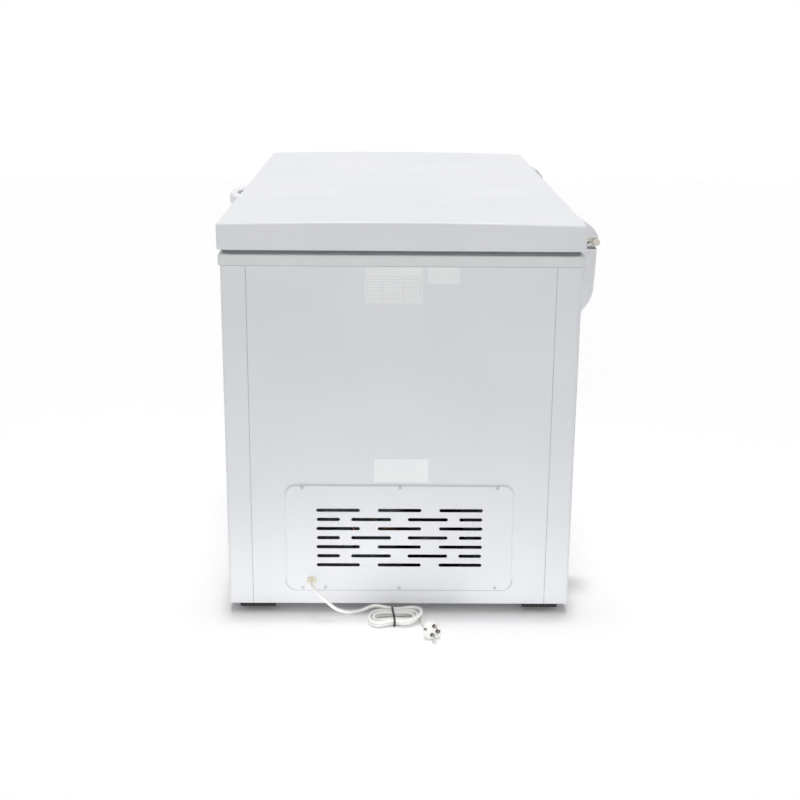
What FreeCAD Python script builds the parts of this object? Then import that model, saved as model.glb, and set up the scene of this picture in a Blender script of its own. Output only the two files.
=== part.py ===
import FreeCAD, Part
import math
import os
from types import SimpleNamespace

import Sketcher
from FreeCAD import Placement, Rotation, Vector

# Chest freezer with a foam-filled lid.  +X points to the compressor end, -Y to the front with the
# handle, +Z up; the origin is on the floor under the middle of the cabinet.  Millimetres.

sizes = {
    # cabinet shell
    "cabinetLength": 1385.4, "cabinetDepth": 732, "wallHeight": 740, "footHeight": 20,
    "sheetThick": 0.8, "foldWidth": 51, "foldRadius": 7, "tuckUnder": 14, "seamGap": 1.2,
    "panThick": 1, "fitGap": 0.3,
    # insulation, tank and compressor bay
    "wallFoam": 62, "floorFoam": 62, "tankThick": 0.9, "tankRadius": 32, "tankFloorRadius": 12,
    "bayDepth": 228, "bayHeight": 275, "bayWall": 0.8,
    "evaporatorRadius": 4, "ringSpacing": 88, "ringLow": 92, "channelGap": 0.5,
    # collar trim round the tank's mouth
    "collarHeight": 22, "collarProud": 3.7, "skirtThick": 3.4, "webThick": 2.4, "lipThick": 2,
    "lipDepth": 18, "collarCorner": 9, "collarEdge": 3.5,
    # lid
    "lidEndProud": 5.8, "lidSideProud": 5.5, "lidGap": 9.6, "lidSide": 52.9, "lidCrown": 5.2,
    "lidSkin": 0.8, "lidCorner": 8, "lidEdge": 6, "lidLinerThick": 1.6, "lidPlugDepth": 14,
    "lidPlugClear": 16, "lidPlugRadius": 28, "gasketInset": 8.8, "gasketWidth": 17, "gasketGroove": 3,
    # lid handle
    "handleLength": 296, "handleReach": 49.5, "handleHeight": 25, "handleLift": 2.6,
    "fingerLength": 158, "fingerReach": 30, "handleRound": 4.5,
    # hinges
    "hingeInset": 190.8, "hingeWidth": 70, "pinBack": 41.7, "pinRise": 4, "pinRadius": 4,
    "knuckleRadius": 7.8, "pinFit": 0.05, "pinHeadRadius": 7.8, "pinHeadThick": 5, "pinHeadRound": 1.2,
    "housingWall": 2.2, "housingDrop": 14.5, "housingFoot": 154, "housingReach": 3.3, "housingLean": 3.05,
    "housingChin": 20, "housingBend": 58, "housingLip": 4.5,
    "housingSide": 5, "coverWall": 2, "coverRise": 45.5, "coverSkirt": 9, "coverReach": 4.1,
    "domeBack": 7.7, "domeRise": 30, "armThick": 2.5, "armTop": 40, "armFoot": 2.5, "barrelRadius": 7.5,
    "bracketThick": 2.5, "bracketWidth": 44, "bracketFoot": 12, "neckFoot": 20, "neckOut": 14, "neckTop": 15,
    "neckSlim": 8, "neckInset": 3, "ribThick": 3, "sideGap": 0.5,
    # grille cover on the compressor end
    "grilleWidth": 486, "grilleHeight": 241.5, "grilleLow": 31.5, "grilleRadius": 23,
    "grilleRim": 2.4, "grilleThick": 1, "fieldRise": 2, "windowMargin": 12,
    "slotHeight": 7.5, "slotPitch": 20.83, "slotRows": 7, "slotRaise": 1.2, "longSlot": 92.5,
    "longStep": 130.5, "innerSlot": 85, "innerStep": 60.2, "outerSlot": 49, "outerStep": 151.2,
    "screwSpan": 206.5, "extraScrew": 158.7, "screwRadius": 3.6, "screwHead": 1.8, "screwInset": 6.4,
    # cord entry
    "grommetSide": 187.5, "grommetHigh": 52.7, "grommetRadius": 10.5, "grommetBore": 3.75,
    "grommetProud": 4, "grommetNeck": 7,
    # feet
    "footPlate": 76, "footPlateThick": 8, "footPlateRound": 12, "footInsetX": 45, "footInsetY": 61,
    "footRadius": 16, "footPad": 7, "footNutRadius": 9, "footStudRadius": 5, "footStudTop": 36,
    "footStudFit": 0.05, "footBoreClear": 1.5, "footTravel": 8,
    # compressor bay fittings
    "potRadius": 74, "potHeight": 168, "potX": 128, "potY": 70, "mountPlate": 190,
    "mountPlateThick": 2, "mountSpread": 78, "rubberRadius": 12, "rubberHeight": 18, "boltRadius": 3,
    "relayWidth": 46, "relayHeight": 62, "relayDeep": 30, "drierRadius": 10, "drierLength": 110,
    "pipeRadius": 4, "pipeBend": 18, "suctionReach": 60, "suctionRise": 45,
    "thinPipe": 3, "thinBend": 14, "dischargeAside": 30, "dischargeReach": 95, "dischargeRise": 62,
    "drierAway": 240, "drierNeck": 8, "drierTaper": 20,
    # front controls
    "bezelLength": 132, "bezelHeight": 52, "bezelThick": 3, "bezelInset": 130, "bezelHigh": 150,
    "bezelRound": 8, "knobRadius": 17, "knobHigh": 15, "knobShaft": 3, "knobFit": 0.05,
    "knobAside": 30, "lampRadius": 4, "lampPitch": 18, "thermostatSide": 34, "thermostatDeep": 30,
    # supply cord
    "cordRadius": 3.6, "tieThick": 1.2, "tieWidth": 2.6, "tieGap": 0.7,
    "plugRadius": 18.5, "plugBack": 11.5, "plugLength": 36, "reliefLength": 36, "reliefRadius": 5.4,
    "hankX": 738, "hankY": -9.5, "hankPitch": 8.8, "hankReach": 59, "hankLobe": 52.5, "hankWaist": 32,
    "earthDrop": 10, "plugPinSeat": 11,
    "plugPinRadius": 2.4, "plugPinLength": 19, "plugPinSpread": 19, "plugEarthRadius": 2.6,
    "plugPinRoot": 2,
}

doc = FreeCAD.newDocument("chest_freezer")
sheet = doc.addObject("Spreadsheet::Sheet", "dims")
for row, (word, number) in enumerate(sizes.items(), start=1):
    sheet.set(f"A{row}", word)
    sheet.set(f"B{row}", str(number))
    sheet.setAlias(f"B{row}", word)
doc.recompute()


class Size:
    """A number together with the formula that binds it to the sheet's cells."""

    def __init__(self, number, rule):
        self.number = float(number)
        self.rule = rule

    def mixed(self, sign, other, number):
        return Size(number, f"({self.rule} {sign} {ruleOf(other)})")

    def __add__(self, other):
        return self.mixed("+", other, self.number + float(other))

    def __sub__(self, other):
        return self.mixed("-", other, self.number - float(other))

    def __mul__(self, other):
        return self.mixed("*", other, self.number * float(other))

    def __truediv__(self, other):
        return self.mixed("/", other, self.number / float(other))

    def __neg__(self):
        return Size(-self.number, f"(0 - {self.rule})")

    def __radd__(self, other):
        return Size(float(other) + self.number, f"({other} + {self.rule})")

    def __rsub__(self, other):
        return Size(float(other) - self.number, f"({other} - {self.rule})")

    def __rmul__(self, other):
        return Size(float(other) * self.number, f"({other} * {self.rule})")

    def __float__(self):
        return self.number


def ruleOf(value):
    return value.rule if isinstance(value, Size) else repr(float(value))


d = SimpleNamespace(**{word: Size(number, f"dims.{word}") for word, number in sizes.items()})
nodes = {}


# ---------------------------------------------------------------- ways of building

def bind(thing, prop, value):
    if isinstance(value, Size):
        thing.setExpression(prop, value.rule)
    else:
        setattr(thing, prop, value)


def place(thing, at, turn=None):
    """Puts a piece at a point whose coordinates follow the sheet."""
    thing.Placement = Placement(Vector(*[float(value) for value in at]), turn or Rotation())
    for axis, value in zip("xyz", at):
        if isinstance(value, Size):
            thing.setExpression(f"Placement.Base.{axis}", value.rule)


def box(name, low, high):
    """A block between two corners."""
    block = doc.addObject("Part::Box", name)
    for prop, a, b in zip(("Length", "Width", "Height"), low, high):
        span = b - a
        bind(block, prop, span)
    place(block, low)
    return block


alongX = Rotation(Vector(0, 1, 0), 90)
alongY = Rotation(Vector(1, 0, 0), -90)


def rod(name, base, radius, length, turn=None):
    """A cylinder that starts at base and runs along +Z, or along the axis that turn gives."""
    round_ = doc.addObject("Part::Cylinder", name)
    bind(round_, "Radius", radius)
    bind(round_, "Height", length)
    place(round_, base, turn)
    return round_


def join(name, *parts):
    whole = doc.addObject("Part::MultiFuse", name)
    whole.Shapes = list(parts)
    return whole


def cut(name, base, *tools):
    rest = doc.addObject("Part::Cut", name)
    rest.Base = base
    rest.Tool = tools[0] if len(tools) == 1 else join(name + "_tools", *tools)
    return rest


def rounded(name, base, radius, pick):
    """Rounds the edges of a piece that pick accepts."""
    doc.recompute()
    chosen = [i for i, edge in enumerate(base.Shape.Edges, start=1) if pick(edge)]
    fillet = doc.addObject("Part::Fillet", name)
    fillet.Base = base
    fillet.Edges = [(i, float(radius), float(radius)) for i in chosen]
    return fillet


def isAlong(edge, axis):
    """True for a straight edge that runs along an axis."""
    if len(edge.Vertexes) < 2 or edge.Curve.TypeId != "Part::GeomLine":
        return False
    return abs(abs(edge.Curve.Direction.dot(axis)) - 1) < 1e-6


def isUpright(edge):
    return isAlong(edge, Vector(0, 0, 1))


def middle(edge):
    return edge.BoundBox.Center


def newBody(name):
    return doc.addObject("PartDesign::Body", name)


def sketchOn(body, name, plane, offset=0):
    """A sketch on one of the body's own planes: XY, XZ (its normal is -Y) or YZ."""
    sketch = body.newObject("Sketcher::SketchObject", name)
    support = [item for item in body.Origin.OriginFeatures if item.Role == plane + "_Plane"][0]
    sketch.AttachmentSupport = (support, [""])
    sketch.MapMode = "FlatFace"
    sketch.AttachmentOffset = Placement(Vector(0, 0, float(offset)), Rotation())
    if isinstance(offset, Size):
        sketch.setExpression("AttachmentOffset.Base.z", offset.rule)
    return sketch


def pin(sketch, geometry, end, u, v):
    """Ties a sketch point to its two distances from the origin."""
    for kind, value, axis in (("DistanceX", u, -2), ("DistanceY", v, -1)):
        if abs(float(value)) < 1e-9:
            sketch.addConstraint(Sketcher.Constraint("PointOnObject", geometry, end, axis))
            continue
        index = sketch.addConstraint(Sketcher.Constraint(kind, -1, 1, geometry, end, float(value)))
        if isinstance(value, Size):
            sketch.setExpression(f"Constraints[{index}]", value.rule)


def outline(sketch, corners):
    """Closes a ring through the corners; one marked "bulge" is a point that an arc passes."""
    count = len(corners)
    firsts = [k for k in range(count) if len(corners[k]) == 2]
    runs = []
    for k in firsts:
        u, v = corners[k]
        after = corners[(k + 1) % count]
        bulge = after if len(after) == 3 else None
        u2, v2 = corners[(k + 2) % count] if bulge else after
        a, b = Vector(float(u), float(v), 0), Vector(float(u2), float(v2), 0)
        if bulge is None:
            made = sketch.addGeometry(Part.LineSegment(a, b), False)
            runs.append((made, 1, 2, u, v))
            continue
        m = Vector(float(bulge[0]), float(bulge[1]), 0)
        turnsLeft = (m - a).cross(b - m).z > 0
        made = sketch.addGeometry(Part.Arc(a, m, b) if turnsLeft else Part.Arc(b, m, a), False)
        mark = sketch.addGeometry(Part.Point(m), True)
        pin(sketch, mark, 1, bulge[0], bulge[1])
        sketch.addConstraint(Sketcher.Constraint("PointOnObject", mark, 1, made))
        runs.append((made, 1 if turnsLeft else 2, 2 if turnsLeft else 1, u, v))
    for k, (made, start, end, u, v) in enumerate(runs):
        following = runs[(k + 1) % len(runs)]
        sketch.addConstraint(Sketcher.Constraint("Coincident", made, end, following[0], following[1]))
        pin(sketch, made, start, u, v)


def rectangle(sketch, lowU, lowV, highU, highV):
    outline(sketch, [(lowU, lowV), (highU, lowV), (highU, highV), (lowU, highV)])


def slotRing(sketch, u, v, length, height):
    """A slot with round ends, centred at (u, v)."""
    reach = length / 2
    straight = (length - height) / 2
    outline(sketch, [
        (u - straight, v - height / 2), (u + straight, v - height / 2), (u + reach, v, "bulge"),
        (u + straight, v + height / 2), (u - straight, v + height / 2), (u - reach, v, "bulge")])


def circle(sketch, u, v, radius):
    made = sketch.addGeometry(Part.Circle(Vector(float(u), float(v), 0), Vector(0, 0, 1), float(radius)), False)
    pin(sketch, made, 3, u, v)
    index = sketch.addConstraint(Sketcher.Constraint("Radius", made, float(radius)))
    if isinstance(radius, Size):
        sketch.setExpression(f"Constraints[{index}]", radius.rule)


def pad(body, sketch, length, name, both=False, reverse=False):
    """Raises a sketch along its normal, or half each way."""
    feature = body.newObject("PartDesign::Pad", name)
    feature.Profile = sketch
    bind(feature, "Length", length)
    feature.SideType = "Symmetric" if both else "One side"
    feature.Reversed = reverse
    return feature


def pocket(body, sketch, length, name, both=False, reverse=False):
    """Sinks a sketch against its normal, or half each way."""
    feature = body.newObject("PartDesign::Pocket", name)
    feature.Profile = sketch
    bind(feature, "Length", length)
    feature.SideType = "Symmetric" if both else "One side"
    feature.Reversed = reverse
    return feature


def soften(body, radius, name, pick):
    """Rounds the edges of the body so far that pick accepts."""
    doc.recompute()
    base = body.Tip
    chosen = [f"Edge{i}" for i, edge in enumerate(base.Shape.Edges, start=1) if pick(edge)]
    fillet = body.newObject("PartDesign::Fillet", name)
    fillet.Base = (base, chosen)
    bind(fillet, "Radius", radius)
    body.Tip = fillet
    return fillet


def revolved(body, sketch, name, axis="V_Axis"):
    feature = body.newObject("PartDesign::Revolution", name)
    feature.Profile = sketch
    feature.ReferenceAxis = (sketch, [axis])
    feature.Angle = 360
    return feature


def keep(name, piece):
    """Makes a finished object the sub-part of that name."""
    piece.Label = name
    nodes[name] = piece
    return piece


# ---------------------------------------------------------------- levels and faces used by many pieces

halfLength = d.cabinetLength / 2
halfDepth = d.cabinetDepth / 2
cabinetTop = d.footHeight + d.wallHeight
collarTop = cabinetTop + d.collarHeight
lidLength = d.cabinetLength + 2 * d.lidEndProud
lidDepth = d.cabinetDepth + 2 * d.lidSideProud
lidLow = collarTop + d.lidGap
lidSideTop = lidLow + d.lidSide
shellLength = halfLength - d.sheetThick
shellDepth = halfDepth - d.sheetThick
tankLength = halfLength - d.wallFoam
tankDepth = halfDepth - d.wallFoam
tankFloor = d.footHeight + d.floorFoam
bayTop = d.footHeight + d.bayHeight
stepFloor = bayTop + d.floorFoam
stepX = halfLength - d.bayDepth - d.wallFoam
bayX = halfLength - d.bayDepth
webLow = collarTop - d.webThick
pinY = lidDepth / 2 + d.pinBack
pinZ = collarTop + d.pinRise
lidBackY = lidDepth / 2


# ---------------------------------------------------------------- cabinet shell

def wrapPanel(name, side):
    """The front or back sheet, folded round both corners onto the ends."""
    body = newBody(name)
    sketch = sketchOn(body, name + "_plan", "XY", d.footHeight)
    foldEnd = (halfDepth - d.foldWidth) * side
    outer, inner = halfDepth * side, shellDepth * side
    outline(sketch, [
        (-halfLength, foldEnd), (-halfLength, outer), (halfLength, outer), (halfLength, foldEnd),
        (shellLength, foldEnd), (shellLength, inner), (-shellLength, inner), (-shellLength, foldEnd)])
    pad(body, sketch, d.wallHeight + d.tuckUnder, name + "_sheet")

    def isCorner(edge, x, y):
        at = middle(edge)
        return isUpright(edge) and abs(abs(at.x) - float(x)) < 0.01 and abs(at.y - float(y)) < 0.01

    soften(body, d.foldRadius, name + "_bend", lambda edge: isCorner(edge, halfLength, outer))
    soften(body, d.foldRadius - d.sheetThick, name + "_bend_inside",
           lambda edge: isCorner(edge, shellLength, inner))
    return body


def bezelX():
    return halfLength - d.bezelInset


def frontWrap():
    """The front sheet, with the window for the controls."""
    body = wrapPanel("front_wrap", -1)
    window = sketchOn(body, "control_window", "XZ", shellDepth - 1)
    rectangle(window, bezelX() - d.bezelLength / 2 + d.bezelRound, d.bezelHigh - d.bezelHeight / 2 + d.bezelRound,
              bezelX() + d.bezelLength / 2 - d.bezelRound, d.bezelHigh + d.bezelHeight / 2 - d.bezelRound)
    pocket(body, window, d.sheetThick + 2, "control_opening", reverse=True)
    keep("front_wrap", body)


def compressorEndPanel():
    """The sheet between the folds at the compressor end, with the service window behind the grille."""
    edgeY = halfDepth - d.foldWidth - d.seamGap
    body = newBody("compressor_end_panel")
    sheetSketch = sketchOn(body, "end_sheet", "YZ", shellLength)
    rectangle(sheetSketch, -edgeY, d.footHeight, edgeY, cabinetTop + d.tuckUnder)
    pad(body, sheetSketch, d.sheetThick, "end_sheet_pad")
    window = sketchOn(body, "service_window", "YZ", shellLength - 1)
    halfWindow = d.grilleWidth / 2 - d.windowMargin
    low = d.footHeight + d.grilleLow + d.windowMargin
    rectangle(window, -halfWindow, low, halfWindow, low + d.grilleHeight - 2 * d.windowMargin)
    pocket(body, window, d.sheetThick + 2, "service_opening", reverse=True)
    keep("compressor_end_panel", body)


def plainEndPanel():
    edgeY = halfDepth - d.foldWidth - d.seamGap
    keep("plain_end_panel", box("plain_end_sheet", (-halfLength, -edgeY, d.footHeight),
                                (-shellLength, edgeY, cabinetTop + d.tuckUnder)))


def footCentres():
    """Where the four feet stand."""
    x = halfLength - d.footInsetX
    y = halfDepth - d.footInsetY
    return {"front_right": (x, -y), "front_left": (-x, -y), "back_right": (x, y), "back_left": (-x, y)}


def basePan():
    """The steel floor of the cabinet, with a hole over each foot."""
    clear = d.fitGap
    pan = box("base_sheet", (-shellLength + clear, -shellDepth + clear, d.footHeight),
              (shellLength - clear, shellDepth - clear, d.footHeight + d.panThick))
    sheetPan = rounded("base_sheet_corners", pan, d.foldRadius, isUpright)
    holes = [rod("base_hole_" + name, (x, y, d.footHeight - 1), d.footStudRadius + d.footBoreClear, d.panThick + 2)
             for name, (x, y) in footCentres().items()]
    keep("base_pan", cut("base_pan_cut", sheetPan, *holes))


def tankBlock(name, grow, top):
    """The stepped tank as a solid, its faces moved out by grow: a deep basin joined to a shallow one."""

    def basin(word, far, floor):
        block = box(f"{name}_{word}", (-(tankLength + grow), -(tankDepth + grow), floor - grow),
                    (far + grow, tankDepth + grow, top))
        walls = rounded(f"{name}_{word}_corners", block, d.tankRadius + grow, isUpright)
        return rounded(f"{name}_{word}_floor", walls, d.tankFloorRadius + grow,
                       lambda edge: edge.BoundBox.ZMax < float(floor - grow) + 0.01)

    return join(name, basin("deep", stepX, tankFloor), basin("shallow", tankLength, stepFloor))


def insideTank():
    """The painted liner of the tank, with the step over the compressor bay."""
    outer = tankBlock("tank_outer", d.tankThick, webLow)
    inner = tankBlock("tank_inner", 0 * d.tankThick, webLow + 1)
    keep("tank_liner", cut("tank_liner_cut", outer, inner))


def evaporatorLevels():
    return [stepFloor + d.ringLow + d.ringSpacing * turn for turn in range(4)]


def cabinetFoam():
    """The insulation between the shell and the tank, open at the compressor bay."""
    clear = d.fitGap
    low = d.footHeight + d.panThick
    block = box("foam_block", (-shellLength + clear, -shellDepth + clear, low),
                (shellLength - clear, shellDepth - clear, webLow))
    blank = rounded("foam_corners", block, d.foldRadius, isUpright)
    tank = tankBlock("foam_tank", d.tankThick, webLow + 1)
    bay = box("foam_bay", (bayX - d.bayWall, -halfDepth, d.footHeight), (halfLength, halfDepth, bayTop + d.bayWall))
    tools = [tank, bay]
    for name, (x, y) in footCentres().items():
        if float(x) < 0:
            tools.append(rod("foam_bore_" + name, (x, y, low - 1), d.footStudRadius + d.footBoreClear,
                             d.footStudTop - low + 4))
    reach = d.tankThick + 2 * (d.evaporatorRadius + d.channelGap)
    for turn, level in enumerate(evaporatorLevels()):
        half = d.evaporatorRadius + d.channelGap
        around = box(f"channel_block_{turn}", (-(tankLength + reach), -(tankDepth + reach), level - half),
                     (tankLength + reach, tankDepth + reach, level + half))
        tools.append(rounded(f"channel_{turn}", around, d.tankRadius + reach, isUpright))
    keep("cabinet_foam", cut("cabinet_foam_cut", blank, *tools))


def evaporatorTube():
    """Rings of tube round the outside of the tank, each in its channel in the foam."""
    offset = d.tankThick + d.channelGap + d.evaporatorRadius
    rings = []
    for turn, level in enumerate(evaporatorLevels()):
        halfX, halfY = float(tankLength + offset), float(tankDepth + offset)
        bend, z = float(d.tankRadius + offset), float(level)
        points = []
        for sx, sy, first in ((1, 1, 0), (-1, 1, 90), (-1, -1, 180), (1, -1, 270)):
            centre = Vector(sx * (halfX - bend), sy * (halfY - bend), z)
            points.append([centre + Vector(bend * math.cos(math.radians(a)), bend * math.sin(math.radians(a)), 0)
                           for a in (first, first + 45, first + 90)])
        edges = []
        for k, (a, m, b) in enumerate(points):
            edges.append(Part.Arc(a, m, b).toShape())
            edges.append(Part.LineSegment(b, points[(k + 1) % 4][0]).toShape())
        path = Part.Wire(edges)
        start = points[0][0]
        section = Part.Wire(Part.makeCircle(float(d.evaporatorRadius), start, Vector(0, 1, 0)))
        rings.append(path.makePipeShell([section], True, False))
    tube = doc.addObject("Part::Feature", "evaporator_tube")
    tube.Shape = Part.makeCompound(rings)
    keep("evaporator_tube", tube)


def bayWall():
    """The steel sheet that closes the compressor bay off from the foam."""
    body = newBody("bay_wall")
    sketch = sketchOn(body, "bay_side", "XZ")
    low = d.footHeight + d.panThick
    outline(sketch, [
        (bayX - d.bayWall, low), (bayX, low), (bayX, bayTop), (shellLength - d.fitGap, bayTop),
        (shellLength - d.fitGap, bayTop + d.bayWall), (bayX - d.bayWall, bayTop + d.bayWall)])
    pad(body, sketch, 2 * (shellDepth - d.fitGap), "bay_sheet", both=True)
    soften(body, d.foldRadius, "bay_corners", lambda edge: isUpright(edge) and middle(edge).x > float(bayX) + 1)
    keep("bay_wall", body)


def collarTrim():
    """The moulded frame that caps the shell and the tank all round."""
    proudX, proudY = halfLength + d.collarProud, halfDepth + d.collarProud
    rim = box("collar_block", (-proudX, -proudY, cabinetTop), (proudX, proudY, collarTop))
    corners = rounded("collar_corners", rim, d.collarCorner, isUpright)
    edge = rounded("collar_edge", corners, d.collarEdge,
                   lambda item: abs(item.BoundBox.ZLength) < 0.01 and abs(middle(item).z - float(collarTop)) < 0.01)
    reachX, reachY = tankLength - d.lipThick - d.fitGap, tankDepth - d.lipThick - d.fitGap
    mouth = box("collar_mouth", (-reachX, -reachY, cabinetTop - d.lipDepth), (reachX, reachY, collarTop + 1))
    mouthRound = rounded("collar_mouth_round", mouth, d.tankRadius - d.lipThick - d.fitGap, isUpright)
    inX, inY = halfLength + d.collarProud - d.skirtThick, halfDepth + d.collarProud - d.skirtThick
    under = box("collar_under", (-inX, -inY, cabinetTop - 1), (inX, inY, webLow))
    underRound = rounded("collar_under_round", under, d.foldRadius, isUpright)
    cap = cut("collar_cap", edge, underRound)
    lipOut = box("collar_lip_block", (-tankLength + d.fitGap, -tankDepth + d.fitGap, webLow - d.lipDepth),
                 (tankLength - d.fitGap, tankDepth - d.fitGap, webLow + d.webThick / 2))
    lip = rounded("collar_lip", lipOut, d.tankRadius - d.fitGap, isUpright)
    keep("collar_trim", cut("collar_trim_cut", join("collar_whole", cap, lip), mouthRound))


# ---------------------------------------------------------------- lid

def lidBlock(name, shrink, low):
    """The crowned lid as a solid, its faces moved in by shrink."""
    body = newBody(name)
    sketch = sketchOn(body, name + "_section", "YZ")
    halfY = lidDepth / 2 - shrink
    outline(sketch, [
        (-halfY, low), (halfY, low), (halfY, lidSideTop - shrink),
        (0, lidSideTop + d.lidCrown - shrink, "bulge"), (-halfY, lidSideTop - shrink)])
    pad(body, sketch, lidLength - 2 * shrink, name + "_pad", both=True)
    soften(body, d.lidCorner - shrink, name + "_corners", isUpright)
    sideTop = float(lidSideTop - shrink)
    soften(body, d.lidEdge - shrink, name + "_edges", lambda edge: edge.BoundBox.ZMin > sideTop - 0.5)
    return body


def lidShell():
    """The painted steel shell of the lid."""
    keep("lid_shell", cut("lid_shell_cut", lidBlock("lid_outside", 0 * d.lidSkin, lidLow),
                          lidBlock("lid_inside", d.lidSkin, lidLow - 1)))


def plugBlock(name, shrink, low, high):
    """The part of the lid that dips into the tank's mouth."""
    x, y = tankLength - d.lidPlugClear - shrink, tankDepth - d.lidPlugClear - shrink
    return rounded(name, box(name + "_block", (-x, -y, low), (x, y, high)), d.lidPlugRadius - shrink, isUpright)


def lidInside():
    """The moulded inner panel of the lid and the foam behind it."""
    edge = d.lidSkin + d.fitGap
    x, y = lidLength / 2 - edge, lidDepth / 2 - edge
    flange = rounded("liner_flange", box("liner_flange_block", (-x, -y, lidLow), (x, y, lidLow + d.lidLinerThick)),
                     d.lidCorner - edge, isUpright)
    tray = plugBlock("liner_tray", 0 * d.lidSkin, lidLow - d.lidPlugDepth, lidLow + d.lidLinerThick)
    hollow = plugBlock("liner_hollow", d.lidLinerThick, lidLow - d.lidPlugDepth + d.lidLinerThick, lidLow + 5)
    keep("lid_liner", cut("lid_liner_cut", join("lid_liner_whole", flange, tray), hollow))
    bulk = lidBlock("lid_foam_block", edge, lidLow + d.lidLinerThick)
    fill = plugBlock("foam_fill", d.lidLinerThick, lidLow - d.lidPlugDepth + d.lidLinerThick, lidLow + 10)
    keep("lid_foam", join("lid_foam_whole", bulk, fill))


def lidGasket():
    """The soft seal under the lid, with the groove of its bellows."""
    outX, outY = lidLength / 2 - d.gasketInset, lidDepth / 2 - d.gasketInset
    low = collarTop + d.fitGap

    def ring(name, inset, bottom, top, radius):
        block = box(name + "_block", (-outX + inset, -outY + inset, bottom), (outX - inset, outY - inset, top))
        return rounded(name, block, radius, isUpright)

    whole = ring("gasket_out", 0 * d.fitGap, low, lidLow, d.lidCorner)
    mouth = ring("gasket_mouth", d.gasketWidth, low - 1, lidLow + 1, d.lidCorner)
    third = (lidLow - low) / 3
    band = ring("gasket_band", -1 * d.fitGap, low + third, lidLow - third, d.lidCorner)
    core = ring("gasket_core", d.gasketGroove, low, lidLow, d.lidCorner)
    groove = cut("gasket_groove", band, core)
    keep("lid_gasket", cut("lid_gasket_cut", whole, mouth, groove))


def lidHandle():
    """The bow handle on the lid's front edge, open behind for the fingers."""
    body = newBody("lid_handle")
    low = lidLow + d.handleLift
    face = -(lidDepth / 2 + d.fitGap)
    plan = sketchOn(body, "handle_plan", "XY", low)
    outline(plan, [(-(d.handleLength / 2), face), (0, -(lidDepth / 2 + d.handleReach), "bulge"),
                   (d.handleLength / 2, face)])
    pad(body, plan, d.handleHeight, "handle_bow")
    fingers = sketchOn(body, "finger_plan", "XY", low - 1)
    back = face + 1
    outline(fingers, [(-(d.fingerLength / 2), back), (0, face - d.fingerReach, "bulge"), (d.fingerLength / 2, back)])
    pocket(body, fingers, d.handleHeight + 2, "finger_opening", reverse=True)
    front, longEdge = float(face) - 1, float(d.handleLength) / 8
    soften(body, d.handleRound, "handle_rounds",
           lambda edge: edge.BoundBox.ZLength < 0.01 and middle(edge).y < front and edge.Length > longEdge)
    keep("lid_handle", body)


# ---------------------------------------------------------------- hinges

def tangentBulge(a, b, heading):
    """The middle of the arc from a to b that arrives along the heading."""
    first, last = (Vector(float(u), float(v), 0) for u, v in (a, b))
    chord = last - first
    turn = chord.getAngle(Vector(float(heading[0]), float(heading[1]), 0))
    across = Vector(chord.y, -chord.x, 0).normalize()
    point = (first + last) * 0.5 + across * (chord.Length / 2 * math.tan(turn / 2))
    return (point.x, point.y, "bulge")


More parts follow.
